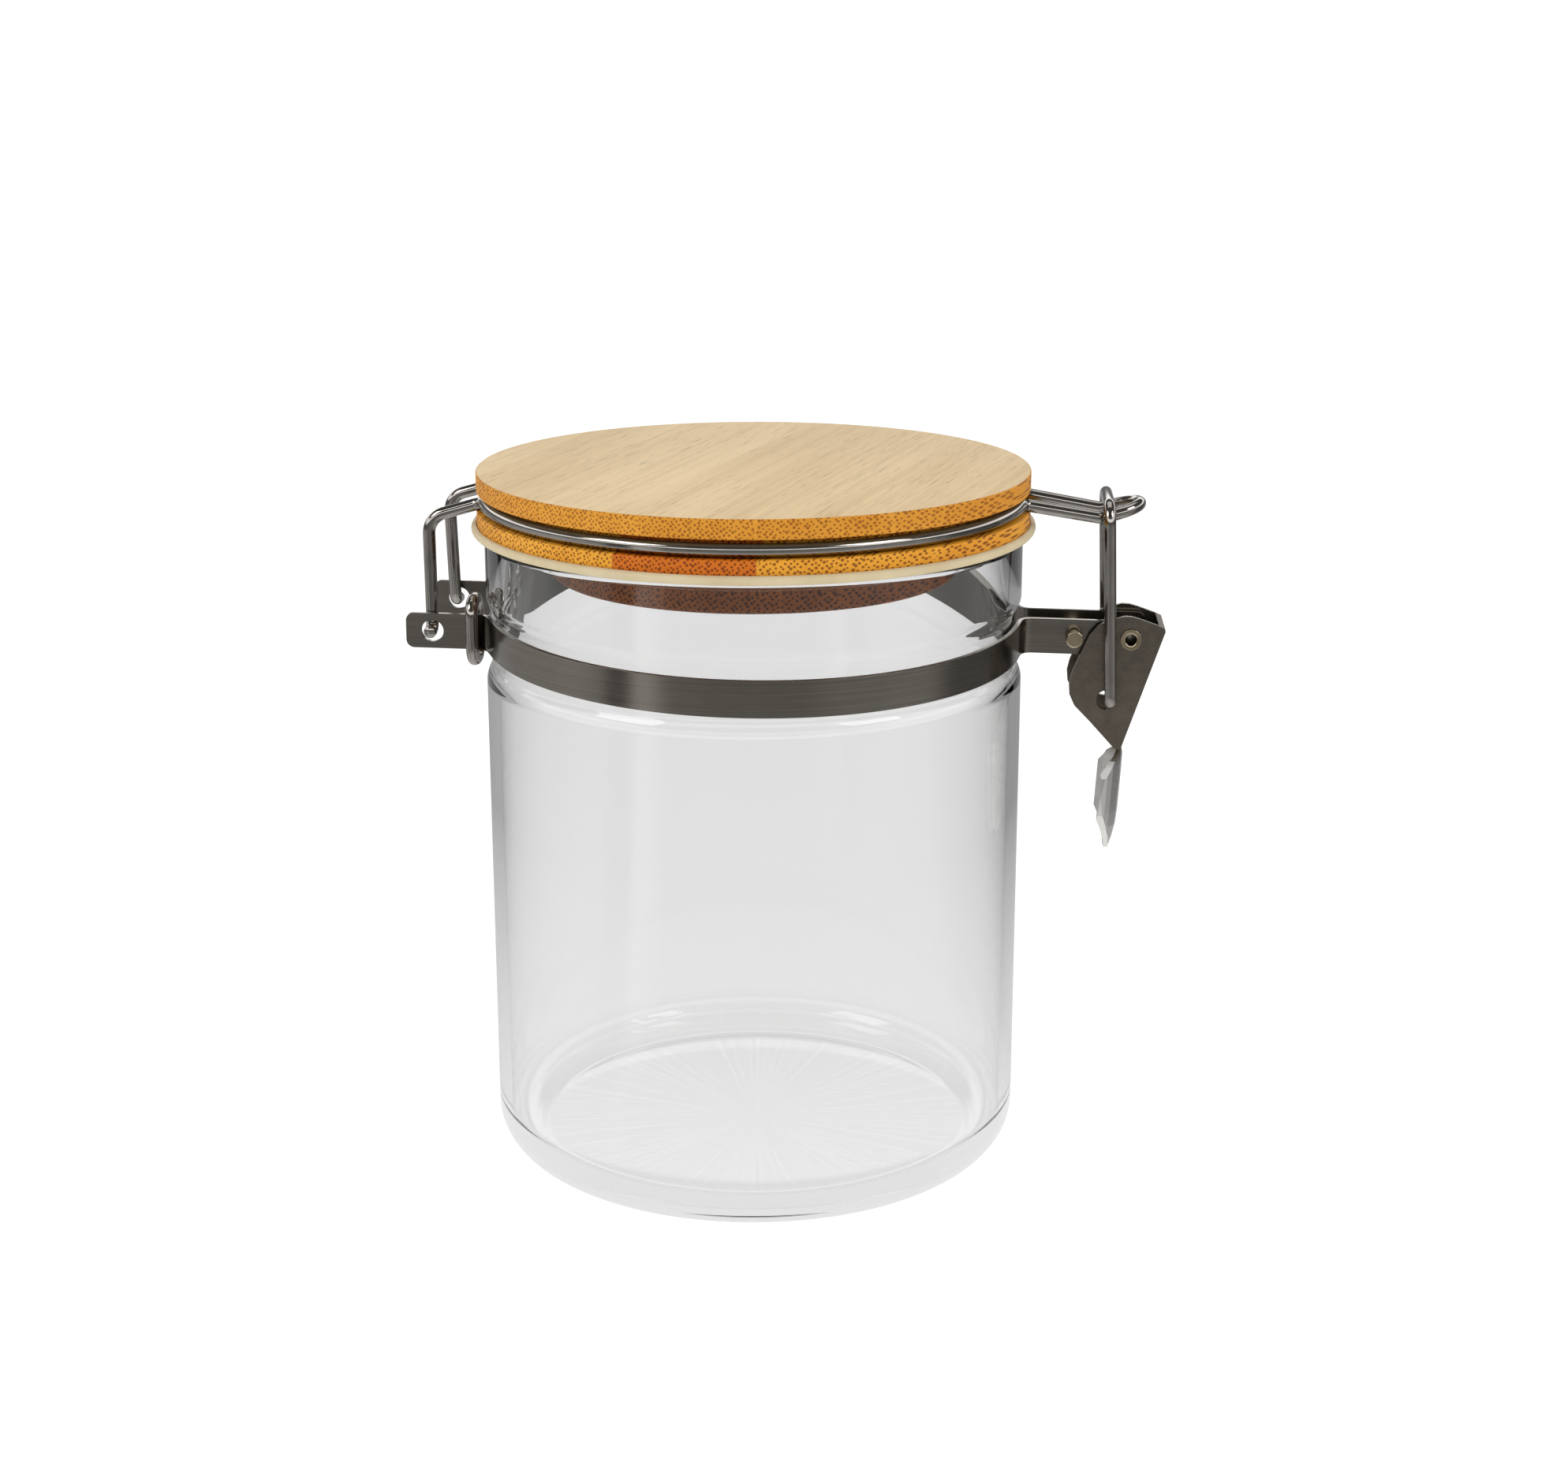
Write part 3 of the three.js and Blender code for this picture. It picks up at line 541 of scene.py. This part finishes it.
def paint_flat_faces(piece, flat, rest):
    """One material on faces that look straight up or down, another on the rest."""
    paint(piece, flat, rest)
    for face in piece.data.polygons:
        face.material_index = 0 if abs(face.normal.z) > 0.95 else 1


# ---- Jar ----------------------------------------------------------------------------------


def eased(start, end, steps=12):
    """A soft S-curve from one profile point to another, upright at both ends."""
    points = []
    for i in range(steps + 1):
        share = i / steps
        bend = (1 - math.cos(math.pi * share)) / 2
        points.append((start[0] + (end[0] - start[0]) * bend, start[1] + (end[1] - start[1]) * share))
    return points


def jar():
    """The glass: foot, body, shoulder, neck groove, collar, rim, and the same way back inside."""
    inner = JAR_RADIUS - JAR_WALL
    profile = [(0, 0)]
    profile += arc(JAR_RADIUS - JAR_FOOT_BEND, JAR_FOOT_BEND, JAR_FOOT_BEND, -90, 0, 16)
    profile += eased((JAR_RADIUS, SHOULDER_Z), (GROOVE_RADIUS, GROOVE_BOTTOM_Z))
    profile += eased((GROOVE_RADIUS, GROOVE_TOP_Z), (COLLAR_RADIUS, COLLAR_Z))
    profile += arc(COLLAR_RADIUS - RIM_BEND, RIM_Z - RIM_BEND, RIM_BEND, 0, 90, 8)
    profile += arc(MOUTH_RADIUS + RIM_BEND, RIM_Z - RIM_BEND, RIM_BEND, 90, 180, 8)
    profile += eased((MOUTH_RADIUS, COLLAR_Z), (NECK_RADIUS, GROOVE_TOP_Z))
    profile += eased((NECK_RADIUS, GROOVE_BOTTOM_Z), (inner, SHOULDER_Z))
    profile += arc(inner - JAR_FLOOR_BEND, JAR_FLOOR + JAR_FLOOR_BEND, JAR_FLOOR_BEND, 0, -90, 16)
    profile += [(0, JAR_FLOOR)]
    piece = turned("jar_glass_body", profile, steps=256, crease=80)
    paint(piece, GLASS)
    stand_for(piece, "glass_jar", "jar")


# ---- Lid ----------------------------------------------------------------------------------


def edge_round(radius, z, up):
    """A quarter round of LID_EDGE at an outer rim corner; up is 1 for its upper edge, -1 for its lower."""
    start = 0 if up > 0 else -90
    return arc(radius - LID_EDGE, z - up * LID_EDGE, LID_EDGE, start, start + 90, 4)


def lid():
    """Three glued layers: the top disc, the flange with the bail's groove above it, and the plug."""
    top = turned("lid_top", [
        (0, LID_TOP_LAYER_Z),
        *edge_round(LID_RADIUS, LID_TOP_LAYER_Z, -1),
        *edge_round(LID_RADIUS, LID_TOP_Z, 1),
        (0, LID_TOP_Z)])
    paint_flat_faces(top, TOP_FACE, TOP_EDGE)
    stand_for(top, "lid_top_disc", "lid")
    flange = turned("lid_flange_layer", [
        (0, FLANGE_Z),
        *edge_round(LID_RADIUS, FLANGE_Z, -1),
        *edge_round(LID_RADIUS, WIRE_GROOVE_Z, 1),
        (WIRE_GROOVE_RADIUS, WIRE_GROOVE_Z),
        (WIRE_GROOVE_RADIUS, LID_TOP_LAYER_Z),
        (0, LID_TOP_LAYER_Z)])
    paint(flange, FLANGE_EDGE)
    stand_for(flange, "lid_flange", "lid")
    plug = turned("lid_plug_layer", [
        (0, PLUG_Z),
        *arc(PLUG_RADIUS - PLUG_EDGE_RADIUS, PLUG_Z + PLUG_EDGE_RADIUS, PLUG_EDGE_RADIUS, -90, 0, 8),
        (PLUG_RADIUS, FLANGE_Z),
        (0, FLANGE_Z)])
    paint(plug, PLUG_BAMBOO_PAINTED_SHADE)
    stand_for(plug, "lid_plug", "lid")


def gasket():
    """A flat ring with a round bead at its edge, which wraps the flange's lower corner."""
    edge = (GASKET_EDGE_Z - GASKET_Z) / 2
    ring = turned("gasket_ring", [
        (GASKET_INNER_RADIUS, GASKET_Z),
        *arc(GASKET_RADIUS - edge, GASKET_Z + edge, edge, -90, 90, 12),
        (LID_RADIUS + GASKET_BEAD_OUT, GASKET_EDGE_Z),
        (LID_RADIUS - GASKET_BEAD_UNDER, FLANGE_Z),
        (GASKET_INNER_RADIUS, FLANGE_Z),
        (GASKET_INNER_RADIUS, GASKET_Z)])
    paint(ring, SILICONE)
    stand_for(ring, "gasket", "lid")


# ---- Joint centres ------------------------------------------------------------------------

JOINTS = {joint["name"]: Vector(joint["pos_m"]) / MM for joint in frame["joints"]}

# ---- Wires --------------------------------------------------------------------------------


def bail():
    """From the hinge lugs up two legs, round the lid in its groove, and out to the nose at the latch."""
    hinge = JOINTS["lid_hinge"]
    entry_x = -math.sqrt(BAIL_MID_RADIUS ** 2 - BAIL_ENTRY["y"] ** 2) - BAIL_ENTRY["out"]
    exit_x = math.sqrt(BAIL_MID_RADIUS ** 2 - NOSE_EXIT["y"] ** 2) + NOSE_EXIT["out"]
    entry_angle = math.pi + math.asin((BAIL_ENTRY["y"] + BAIL_ENTRY["clear"]) / BAIL_MID_RADIUS)
    exit_angle = 2 * math.pi - math.asin((NOSE_EXIT["y"] + NOSE_EXIT["clear"]) / BAIL_MID_RADIUS)
    corners = [
        (Vector((hinge.x, -BAIL_END_Y, hinge.z)), 0),
        (Vector((hinge.x, -BAIL_FOOT["y"], hinge.z)), BAIL_FOOT["bend"]),
        (Vector((BAIL_SHOULDER["x"], -BAIL_SHOULDER["y"], BAIL_SHOULDER["z"])), BAIL_SHOULDER["bend"]),
        (Vector((entry_x, -BAIL_ENTRY["y"], BAIL_Z)), BAIL_ENTRY["bend"]),
    ]
    for x, y in arc(0, 0, BAIL_MID_RADIUS, math.degrees(entry_angle), math.degrees(exit_angle), 90):
        corners.append((Vector((x, y, BAIL_Z)), 0))

    def nose_point(x, y):
        return Vector((x, y, NOSE_KINK["z"] + (x - NOSE_KINK["x"]) * NOSE_RISE))

    end_x = NOSE_END_X - NOSE_END_RADIUS
    corners.append((Vector((exit_x, -NOSE_EXIT["y"], BAIL_Z)), NOSE_EXIT["bend"]))
    corners.append((nose_point(NOSE_KINK["x"], -NOSE_KINK["y"]), NOSE_KINK["bend"]))
    corners.append((nose_point(end_x, -NOSE_END_RADIUS), 0))
    half = rounded_route(corners)
    nose = [nose_point(x, y) for x, y in arc(end_x, 0, NOSE_END_RADIUS, -90, 90, 24)[1:-1]]
    wire = tube("bail", half + nose + mirrored(half), BAIL_WIRE_RADIUS)
    paint(wire, WIRE)
    stand_for(wire, "bail_wire", "bail")


def link():
    """From the lever's cheeks out and up to the bar that hooks over the bail's nose."""
    foot = JOINTS["link_hinge"]
    half = rounded_route([
        (Vector((foot.x, -LINK_END_Y, foot.z)), 0),
        (Vector((foot.x, -LINK_Y, foot.z)), LINK_FOOT_BEND),
        (Vector((LINK_BAR["x"], -LINK_Y, LINK_BAR["z"])), LINK_BAR["bend"]),
        (Vector((LINK_BAR["x"], -MIDDLE_GAP, LINK_BAR["z"])), 0),
    ])[:-1]
    wire = tube("link", half + mirrored(half), LINK_WIRE_RADIUS)
    paint(wire, WIRE)
    stand_for(wire, "link_wire", "link")


def keeper_ring(name, side):
    """A small upright wire ring about one hinge lug, with its ends butted on the inner side."""
    low, high = node_box(name)
    x = (low.x + high.x) / 2
    low_z = low.z + KEEPER_WIRE_RADIUS
    high_z = high.z - KEEPER_WIRE_RADIUS
    middle = (low_z + high_z) / 2
    points = [
        (KEEPER_INNER_Y, middle - KEEPER_END_GAP / 2, 0),
        (KEEPER_INNER_Y, low_z, KEEPER_BEND),
        (KEEPER_OUTER_Y, low_z, KEEPER_BEND),
        (KEEPER_OUTER_Y, high_z, KEEPER_BEND),
        (KEEPER_INNER_Y, high_z, KEEPER_BEND),
        (KEEPER_INNER_Y, middle + KEEPER_END_GAP / 2, 0)]
    route = rounded_route([(Vector((x, side * y, z)), bend) for y, z, bend in points])
    wire = tube(name + "_wire", route, KEEPER_WIRE_RADIUS)
    paint(wire, WIRE)
    stand_for(wire, name, "jar")


# ---- Pressed steel and rivets -------------------------------------------------------------


def strip_route(side):
    """The middle line of one neck strip, seen from above: hinge lug, neck circle, latch lug."""
    hinge_angle = 180 + math.degrees(math.asin((HINGE_LUG_Y + HINGE_LUG_CLEAR) / BAND_MID_RADIUS))
    latch_angle = 360 - math.degrees(math.asin((LATCH_LUG_Y + LATCH_LUG_CLEAR) / BAND_MID_RADIUS))

    def corner_x(y):
        return math.sqrt(BAND_MID_RADIUS ** 2 - y ** 2) + CORNER_OUT

    corners = [(Vector((HINGE_LUG_END, -HINGE_LUG_Y, 0)), 0),
               (Vector((-corner_x(HINGE_LUG_Y), -HINGE_LUG_Y, 0)), HINGE_LUG_BEND)]
    corners += [(Vector((x, y, 0)), 0) for x, y in
                arc(0, 0, BAND_MID_RADIUS, hinge_angle, latch_angle, 120)]
    corners += [(Vector((corner_x(LATCH_LUG_Y), -LATCH_LUG_Y, 0)), LATCH_LUG_BEND),
                (Vector((LATCH_LUG_END, -LATCH_LUG_Y, 0)), 0)]
    return [Vector((p.x, -side * p.y, 0)) for p in rounded_route(corners)]


def flat_sheet(outline, holes, cuts):
    """A flat sheet in the XZ plane with holes, cut across at the given X places so it can be bent."""
    work = bmesh.new()
    edges = []
    for loop in [outline, *holes]:
        verts = [work.verts.new((x, 0, z)) for x, z in loop]
        edges += [work.edges.new((a, b)) for a, b in zip(verts, verts[1:] + verts[:1])]
    bmesh.ops.triangle_fill(work, use_beauty=True, use_dissolve=False, edges=edges)
    for cut in cuts:
        everything = work.verts[:] + work.edges[:] + work.faces[:]
        bmesh.ops.bisect_plane(work, geom=everything, plane_co=(cut, 0, 0), plane_no=(1, 0, 0))
    return work


def sheet_piece(name, work, gauge):
    """A mesh object of even gauge from a bent sheet in millimetres, with broken edges."""
    bmesh.ops.recalc_face_normals(work, faces=work.faces)
    bmesh.ops.scale(work, vec=(MM, MM, MM), verts=work.verts)
    mesh = bpy.data.meshes.new(name)
    work.to_mesh(mesh)
    work.free()
    piece = bpy.data.objects.new(name, mesh)
    bpy.context.scene.collection.objects.link(piece)
    mesh.shade_smooth()
    thick = piece.modifiers.new("gauge", "SOLIDIFY")
    thick.thickness = gauge * MM
    thick.offset = 0
    thick.use_even_offset = True
    edges = piece.modifiers.new("broken_edges", "BEVEL")
    edges.width = SHEET_EDGE * MM
    edges.segments = 3
    edges.limit_method = "ANGLE"
    edges.angle_limit = math.radians(50)
    edges.harden_normals = True
    return piece


def neck_strip(node_name, side):
    """One pressed strip: cut flat with its three holes, wrapped along its route, then tilted and sagged."""
    route = strip_route(side)
    reach = [0.0]
    for before, after in zip(route, route[1:]):
        reach.append(reach[-1] + (after - before).length)
    length = reach[-1]
    half = BAND_HEIGHT / 2
    low, high = LUG_CORNER - half, half - LUG_CORNER
    outline = [*arc(LUG_CORNER, low, LUG_CORNER, 180, 270, 8),
               *arc(length - LUG_CORNER, low, LUG_CORNER, 270, 360, 8),
               *arc(length - LUG_CORNER, high, LUG_CORNER, 0, 90, 8),
               *arc(LUG_CORNER, high, LUG_CORNER, 90, 180, 8)]
    holes = [arc(HINGE_HOLE_X - HINGE_LUG_END, 0, HINGE_HOLE_RADIUS, 0, 360, 40)[:-1],
             arc(length - LATCH_LUG_END + BAND_RIVET_X, 0, RIVET_HOLE_RADIUS, 0, 360, 32)[:-1],
             arc(length - LATCH_LUG_END + PIVOT_BAND_X, PIVOT_RISE, PIVOT_HOLE_RADIUS, 0, 360, 32)[:-1]]
    work = flat_sheet(outline, holes, reach[1:-1])
    tilt = Matrix.Translation((0, 0, BAND_Z)) @ Matrix.Rotation(BAND_TILT, 4, "Y")
    tilt = tilt @ Matrix.Rotation(-side * STRIP_SAG, 4, "X")
    for vert in work.verts:
        along = min(max(vert.co.x, 0.0), length)
        index = next(i for i in range(1, len(reach)) if along <= reach[i] + 1e-9)
        share = (along - reach[index - 1]) / (reach[index] - reach[index - 1])
        place = route[index - 1].lerp(route[index], share)
        vert.co = tilt @ Vector((place.x, place.y, vert.co.z))
    strip = sheet_piece(node_name + "_strip", work, BAND_GAUGE)
    paint(strip, BAND)
    stand_for(strip, node_name, "jar")


def finish_cad_node(name, material, width):
    """A CAD node whose shape is right: broken edges and a material."""
    piece = frame["nodes"][name]
    paint(piece, material)
    piece.data.shade_smooth()
    piece.data.set_sharp_from_angle(angle=math.radians(40))
    edges = piece.modifiers.new("broken_edges", "BEVEL")
    edges.width = width * MM
    edges.segments = 2
    edges.limit_method = "ANGLE"
    edges.angle_limit = math.radians(40)


def along_y(name, node_name, half, bore=None):
    """A turned piece about the Y axis at the middle of its CAD node, from half of its outline."""
    low, high = node_box(node_name)
    centre = (low + high) / 2
    outline = [(r, -y) for r, y in half][::-1] + half
    if bore:
        outline.append(outline[0])
    piece = turned(name, outline, steps=64, crease=32)
    for vert in piece.data.vertices:
        x, y, z = vert.co / MM
        vert.co = (centre + Vector((x, z, -y))) * MM
    paint(piece, RIVET, *([bore] if bore else []))
    return piece, centre


def band_rivet():
    """A solid rivet with domed heads and a shoulder between the two latch lugs."""
    head_y = node_box("band_rivet")[1].y
    lug_in = LATCH_LUG_Y - BAND_GAUGE / 2 - FIT_GAP
    lug_out = LATCH_LUG_Y + BAND_GAUGE / 2 + FIT_GAP
    under, dome = RIVET_HEAD_UNDER, RIVET_HEAD_DOME
    half = [
        (RIVET_SHOULDER_RADIUS, MIDDLE_GAP),
        (RIVET_SHOULDER_RADIUS, lug_in - RIVET_SHOULDER_EDGE),
        (RIVET_SHOULDER_RADIUS - RIVET_SHOULDER_EDGE, lug_in),
        (RIVET_SHAFT_RADIUS, lug_in),
        (RIVET_SHAFT_RADIUS, lug_out),
        (RIVET_HEAD_RADIUS - under / 2, lug_out),
        *arc(RIVET_HEAD_RADIUS - under, lug_out + under, under, -60, 0, 4),
        *arc(RIVET_HEAD_RADIUS - dome, head_y - dome, dome, 0, 90, 8),
        (0, head_y)]
    piece, _ = along_y("band_rivet_turned", "band_rivet", half)
    stand_for(piece, "band_rivet", "jar")


def lever_pivot():
    """A tubular rivet with rolled rims; its bore is open and coloured a dull dark brass as painted shade
    inside it.
    """
    outer_y = node_box("lever_pivot")[1].y
    rim = (outer_y - PIVOT_RIM_IN_Y) / 2
    flare = PIVOT_BORE_FLARE
    half = [
        (PIVOT_TUBE_RADIUS, MIDDLE_GAP),
        (PIVOT_TUBE_RADIUS, PIVOT_RIM_IN_Y),
        (PIVOT_RIM_RADIUS - PIVOT_RIM_FOOT, PIVOT_RIM_IN_Y),
        *arc(PIVOT_RIM_RADIUS - rim, PIVOT_RIM_IN_Y + rim, rim, -90, 90, 12),
        (flare["radius"], outer_y),
        (flare["middle"], outer_y - flare["middle_depth"]),
        (PIVOT_BORE_RADIUS, outer_y - flare["depth"]),
        (PIVOT_BORE_RADIUS, 2 * MIDDLE_GAP)]
    piece, centre = along_y("lever_pivot_turned", "lever_pivot", half, BORE_PAINTED_SHADE)
    # Faces inside the bore take the painted-shade colour.
    for face in piece.data.polygons:
        middle = face.center / MM - centre
        in_bore = math.hypot(middle.x, middle.z) < PIVOT_BORE_RADIUS + BORE_PAINT_EDGE
        face.material_index = 1 if in_bore else 0
    stand_for(piece, "lever_pivot", "jar")


jar()
lid()
gasket()
bail()
link()
keeper_ring("keeper_ring_front", -1)
keeper_ring("keeper_ring_rear", 1)
neck_strip("neck_band_front", -1)
neck_strip("neck_band_rear", 1)
finish_cad_node("latch_lever", LEVER, LEVER_EDGE)
band_rivet()
lever_pivot()

# ---- Stage, light and camera --------------------------------------------------------------

CAMERA_PLACE = Vector((38.15, -492.05, 219.0))
CAMERA_TURN = math.radians(3.784)
CAMERA_DIP = math.radians(15.796)
CAMERA_LENS = 62.07

LIGHT_TARGET = Vector((0, 0, 80))
SKY_PEAK = 2.0
FLOOR_REACH = 40000
FLOOR_WHITE = 0.97

# How bright the floor looks in reflections, by direction from the jar in degrees, 0 to the latch: a window
# edge front left with a dark gap beside it, and another dark gap at the latch.
REFLECTED_PEAK = 0.78
REFLECTED_STUDIO = [
    (-180, 0.52), (-160, 0.56), (-148, 0.42), (-144, 0.02), (-136, 0.02), (-133, 1.0), (-127, 0.75),
    (-120, 0.20), (-72, 0.21), (-30, 0.36), (-12, 0.36), (2, 0.02), (32, 0.02), (44, 0.28), (180, 0.52)]
# Close to the jar the reflected floor is evenly pale; from "pale" to "gone" millimetres that fades away.
REFLECTED_NEAR = 0.78
NEAR_REACH = {"pale": 60, "gone": 250, "ramp_end": 500}


def mirrored_ray(tree):
    """1 for a ray that a surface has reflected on its way, 0 for one that only came through glass."""
    path = node(tree, "ShaderNodeLightPath")
    return maths(tree, "MINIMUM", path.outputs["Glossy Depth"], 1.0)


def stage():
    """A white floor that glows evenly where it is seen directly, and is a studio's floor in reflections."""
    turns = ((-1, -1), (1, -1), (1, 1), (-1, 1))
    corners = [(x * FLOOR_REACH, y * FLOOR_REACH, 0) for x, y in turns]
    floor = add_mesh("floor", corners, [(0, 1, 2, 3)])
    material, tree, shader = new_material("floor_paint")
    shader.inputs["Base Color"].default_value = grey(0.15)
    shader.inputs["Roughness"].default_value = 0.9
    shader.inputs["Specular IOR Level"].default_value = 0.0
    shader.inputs["Emission Color"].default_value = grey(1.0)
    place = node(tree, "ShaderNodeTexCoord").outputs["Object"]
    around = node(tree, "ShaderNodeTexGradient", {"Vector": place}, gradient_type="RADIAL").outputs["Fac"]
    studio = ramp(tree, around, *[(angle / 360 + 0.5, grey(tone)) for angle, tone in REFLECTED_STUDIO])
    distance = node(tree, "ShaderNodeVectorMath", {0: place}, operation="LENGTH").outputs["Value"]
    pale, gone, ramp_end = NEAR_REACH["pale"], NEAR_REACH["gone"], NEAR_REACH["ramp_end"]
    share = maths(tree, "MULTIPLY", distance, 1 / (ramp_end * MM))
    near = ramp(tree, share, (pale / ramp_end, grey(1)), (gone / ramp_end, grey(0)))
    far_tone = maths(tree, "MULTIPLY", studio, REFLECTED_PEAK)
    mirrored_tone = mixed(tree, near, far_tone, grey(REFLECTED_NEAR))
    in_mirror = mirrored_ray(tree)
    direct = maths(tree, "SUBTRACT", 1.0, in_mirror)
    strength = maths(tree, "ADD", maths(tree, "MULTIPLY", direct, FLOOR_WHITE),
                     maths(tree, "MULTIPLY", in_mirror, mirrored_tone))
    tree.links.new(strength, shader.inputs["Emission Strength"])
    paint(floor, material)


def area_light(name, place, size, radiance):
    """A softbox that faces the jar, of the given surface brightness, where 1 matches the white floor."""
    data = bpy.data.lights.new(name, "AREA")
    data.shape = "RECTANGLE"
    data.size, data.size_y = size[0] * MM, size[1] * MM
    data.energy = radiance * math.pi * data.size * data.size_y
    made = bpy.data.objects.new(name, data)
    made.location = Vector(place) * MM
    made.rotation_euler = (LIGHT_TARGET - Vector(place)).to_track_quat("-Z", "Y").to_euler()
    bpy.context.scene.collection.objects.link(made)


def sky():
    """White near floor level and dim overhead; in reflections a bright band in a dark room.

    A ramp's colours stop at 1, so both ramps hold brightness as a share of SKY_PEAK.
    """
    world = bpy.data.worlds.new("studio")
    bpy.context.scene.world = world
    world.use_nodes = True
    tree = world.node_tree
    direction = node(tree, "ShaderNodeTexCoord").outputs["Generated"]
    height = node(tree, "ShaderNodeSeparateXYZ", {"Vector": direction}).outputs["Z"]
    tone = ramp(tree, height, (0.0, grey(0.5)), (0.42, grey(0.5)), (0.7, grey(0.15)), (1.0, grey(0.12)))
    mirrored_tone = ramp(tree, height, (0.0, grey(0.08)), (0.17, grey(0.08)), (0.24, grey(0.9)),
                         (0.38, grey(0.9)), (0.46, grey(0.05)), (1.0, grey(0.04)))
    colour = mixed(tree, mirrored_ray(tree), tone, mirrored_tone)
    tree.links.new(colour, tree.nodes["Background"].inputs["Color"])
    tree.nodes["Background"].inputs["Strength"].default_value = SKY_PEAK


def camera():
    data = bpy.data.cameras.new("camera")
    data.lens = CAMERA_LENS
    data.sensor_width = 36
    data.clip_end = 200
    made = bpy.data.objects.new("camera", data)
    made.location = CAMERA_PLACE * MM
    made.rotation_euler = (math.pi / 2 - CAMERA_DIP, 0, CAMERA_TURN)
    bpy.context.scene.collection.objects.link(made)
    bpy.context.scene.camera = made


stage()
sky()
area_light("left_box", place=(-1050, -620, 1150), size=(750, 560), radiance=5.0)
area_light("right_box", place=(1080, -560, 1100), size=(650, 560), radiance=5.0)
area_light("top_box", place=(0, 500, 1700), size=(1600, 1200), radiance=1.0)
camera()
bpy.context.scene.view_settings.view_transform = "Standard"
